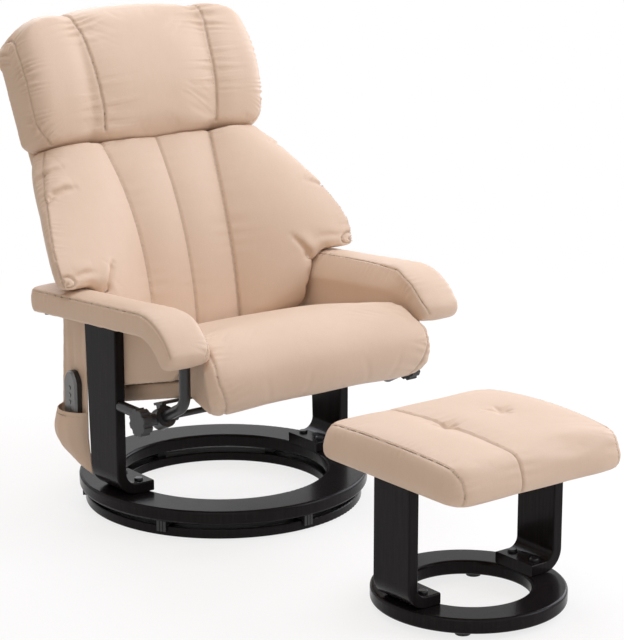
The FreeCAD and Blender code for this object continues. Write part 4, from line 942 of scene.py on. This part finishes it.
stool = stuffed_copy("stool_pad", ["stool_cushion"], COVER_MESH)
low, high = points_of(stool).min(0), points_of(stool).max(0)
evened(stool, 45)
points = points_of(stool)
spread = (high - low) / (points.max(0) - points.min(0))
set_points(stool, (points - points.min(0)) * spread + low)
stool_seam = on_skin(stool, stool_profile(-0.051, 0.0))
stool_ends = [on_skin(stool, stool_profile(side * 0.196, 0.06, 0.004)) for side in SIDES]
points = points_of(stool)
held = points[:, 2] < 0.274
held |= beside(points, [stool_seam] + stool_ends)
for tuft in TUFTS:
    held |= np.linalg.norm(points - np.array(tuft), axis=1) < 0.009
puffed(stool, held, 0.012)
evened(stool, 2)
finer(stool)
for tuft in TUFTS:
    dimpled(stool, tuft, 0.0050, 0.013)
    for turn, reach in TUFT_SPOKES:
        spoke = [
            (tuft[0] + math.cos(turn) * away, tuft[1] + math.sin(turn) * away, 0.346)
            for away in (0.004, reach * 0.5, reach)
        ]
        folded(stool, spoke, -0.0022, 0.0040)
sewn(stool, stool_seam, 0.0032, 0.0032, pucker=0.0006, pitch=0.026, reach=0.012, start=6.2)
stitched(stool, "footstool", stool_seam, -0.0048)
for number, seam in enumerate(stool_ends):
    sewn(stool, seam, 0.0013, 0.0028, pucker=0.0004, pitch=0.018, reach=0.009, start=7.3 + number)
    stitched(stool, "footstool", seam, SIDES[number] * 0.0045)
upholstered(stool, "footstool", ["stool_cushion"])

thread_pieces(THREAD)

# Floor, backdrop and light
WHITE = (1.0, 1.0, 1.0, 1.0)
WARM_FILL = (1.0, 0.77, 0.52, 1.0)
FLOOR_HALF = 9
SHADOW_SHARE = 0.22
SHADOW_NEAR = 1.2
SHADOW_FAR = 2.2
LAMP_COLOUR = (0.97, 0.995, 1.10)
LAMP_AIM = Vector((0.0, -0.2, 0.35))
CAMERA_PLACE = Vector((-2.5074, -3.5961, 1.4847))
CAMERA_TURN = math.radians(-37.3)
CAMERA_PITCH = math.radians(14.2)
CAMERA_LENS = 123.69
CAMERA_WIDTH = 36.0


def seen_by_eye(root):
    """Rays from the camera, straight or by way of gloss or glass."""
    camera, gloss, glass = [
        root.make("ShaderNodeLightPath", {}, {}, "Is " + kind + " Ray")
        for kind in ("Camera", "Glossy", "Transmission")
    ]
    return camera + gloss + glass


def white_ground(name):
    """Floor that looks white to the eye but keeps a soft shadow round the chair."""
    material, root, place = started(name)
    looks = seen_by_eye(root)
    cloud = speckle(root, place, 2.0, 2.0)
    paint = (cloud * 0.5).blended((0.86, 0.86, 0.86, 1.0), (0.9, 0.9, 0.9, 1.0))
    plain = root.make("ShaderNodeBsdfDiffuse", {}, {"Color": paint})
    grey = (SHADOW_SHARE,) * 3 + (1.0,)
    shadowed = root.make("ShaderNodeBsdfDiffuse", {}, {"Color": grey})
    glow = root.make("ShaderNodeEmission", {}, {"Color": WHITE, "Strength": 1.0 - SHADOW_SHARE})
    near = root.make("ShaderNodeAddShader", {}, {0: shadowed, 1: glow})
    far = root.make("ShaderNodeEmission", {}, {"Color": WHITE, "Strength": 1.0})
    away = root.make("ShaderNodeVectorMath", {"operation": "LENGTH"}, {0: place}, "Value")
    reach = {"Value": away, 1: SHADOW_NEAR, 2: SHADOW_FAR, 3: 0.0, 4: 1.0}
    beyond = root.make("ShaderNodeMapRange", {"clamp": True}, reach)
    bright = root.make("ShaderNodeMixShader", {}, {0: beyond, 1: near, 2: far})
    mixed = root.make("ShaderNodeMixShader", {}, {0: looks, 1: plain, 2: bright})
    root.make("ShaderNodeOutputMaterial", {}, {"Surface": mixed})
    return material


corners = [(-1, -1), (1, -1), (1, 1), (-1, 1)]
floor = new_piece("floor", [(x * FLOOR_HALF, y * FLOOR_HALF, 0) for x, y in corners], [[0, 1, 2, 3]])
covered(floor, white_ground("white_floor"))

world = bpy.data.worlds.new("studio")
bpy.context.scene.world = world
world.use_nodes = True
world.node_tree.nodes.clear()
sky = Tone(world.node_tree)
shown = seen_by_eye(sky)
strength = shown * 0.70 + 0.30
tint = shown.blended(WARM_FILL, WHITE)
background = sky.make("ShaderNodeBackground", {}, {"Color": tint, "Strength": strength})
sky.make("ShaderNodeOutputWorld", {}, {"Surface": background})


def soft_box(name, place, size, power):
    """A soft lamp aimed at the middle of the chair."""
    lamp = bpy.data.lights.new(name, "AREA")
    lamp.shape = "RECTANGLE"
    lamp.size, lamp.size_y = size
    lamp.energy = power
    lamp.color = LAMP_COLOUR
    holder = bpy.data.objects.new(name, lamp)
    bpy.context.scene.collection.objects.link(holder)
    holder.location = place
    holder.rotation_euler = (LAMP_AIM - Vector(place)).to_track_quat("-Z", "Y").to_euler()


soft_box("right_box", (2.6, -2.6, 2.6), (2.2, 2.2), 63.0)
soft_box("top_box", (0.0, 0.0, 3.6), (2.6, 2.6), 50.0)
soft_box("side_box", (3.6, 0.2, 1.8), (2.2, 2.2), 57.0)
soft_box("rear_box", (1.0, 3.0, 2.8), (2.2, 2.2), 50.0)
soft_box("left_box", (-2.6, -2.6, 3.0), (2.2, 2.2), 18.0)
soft_box("front_box", (-0.5, -4.2, 1.8), (2.6, 2.2), 9.0)

eye = bpy.data.cameras.new("photo_view")
eye.sensor_width = CAMERA_WIDTH
eye.lens = CAMERA_LENS
eye_holder = bpy.data.objects.new("photo_view", eye)
bpy.context.scene.collection.objects.link(eye_holder)
eye_holder.location = CAMERA_PLACE
looking = Vector((
    -math.sin(CAMERA_TURN) * math.cos(CAMERA_PITCH),
    math.cos(CAMERA_TURN) * math.cos(CAMERA_PITCH),
    -math.sin(CAMERA_PITCH),
))
eye_holder.rotation_euler = looking.to_track_quat("-Z", "Y").to_euler()
bpy.context.scene.camera = eye_holder
bpy.context.scene.view_settings.view_transform = "Standard"
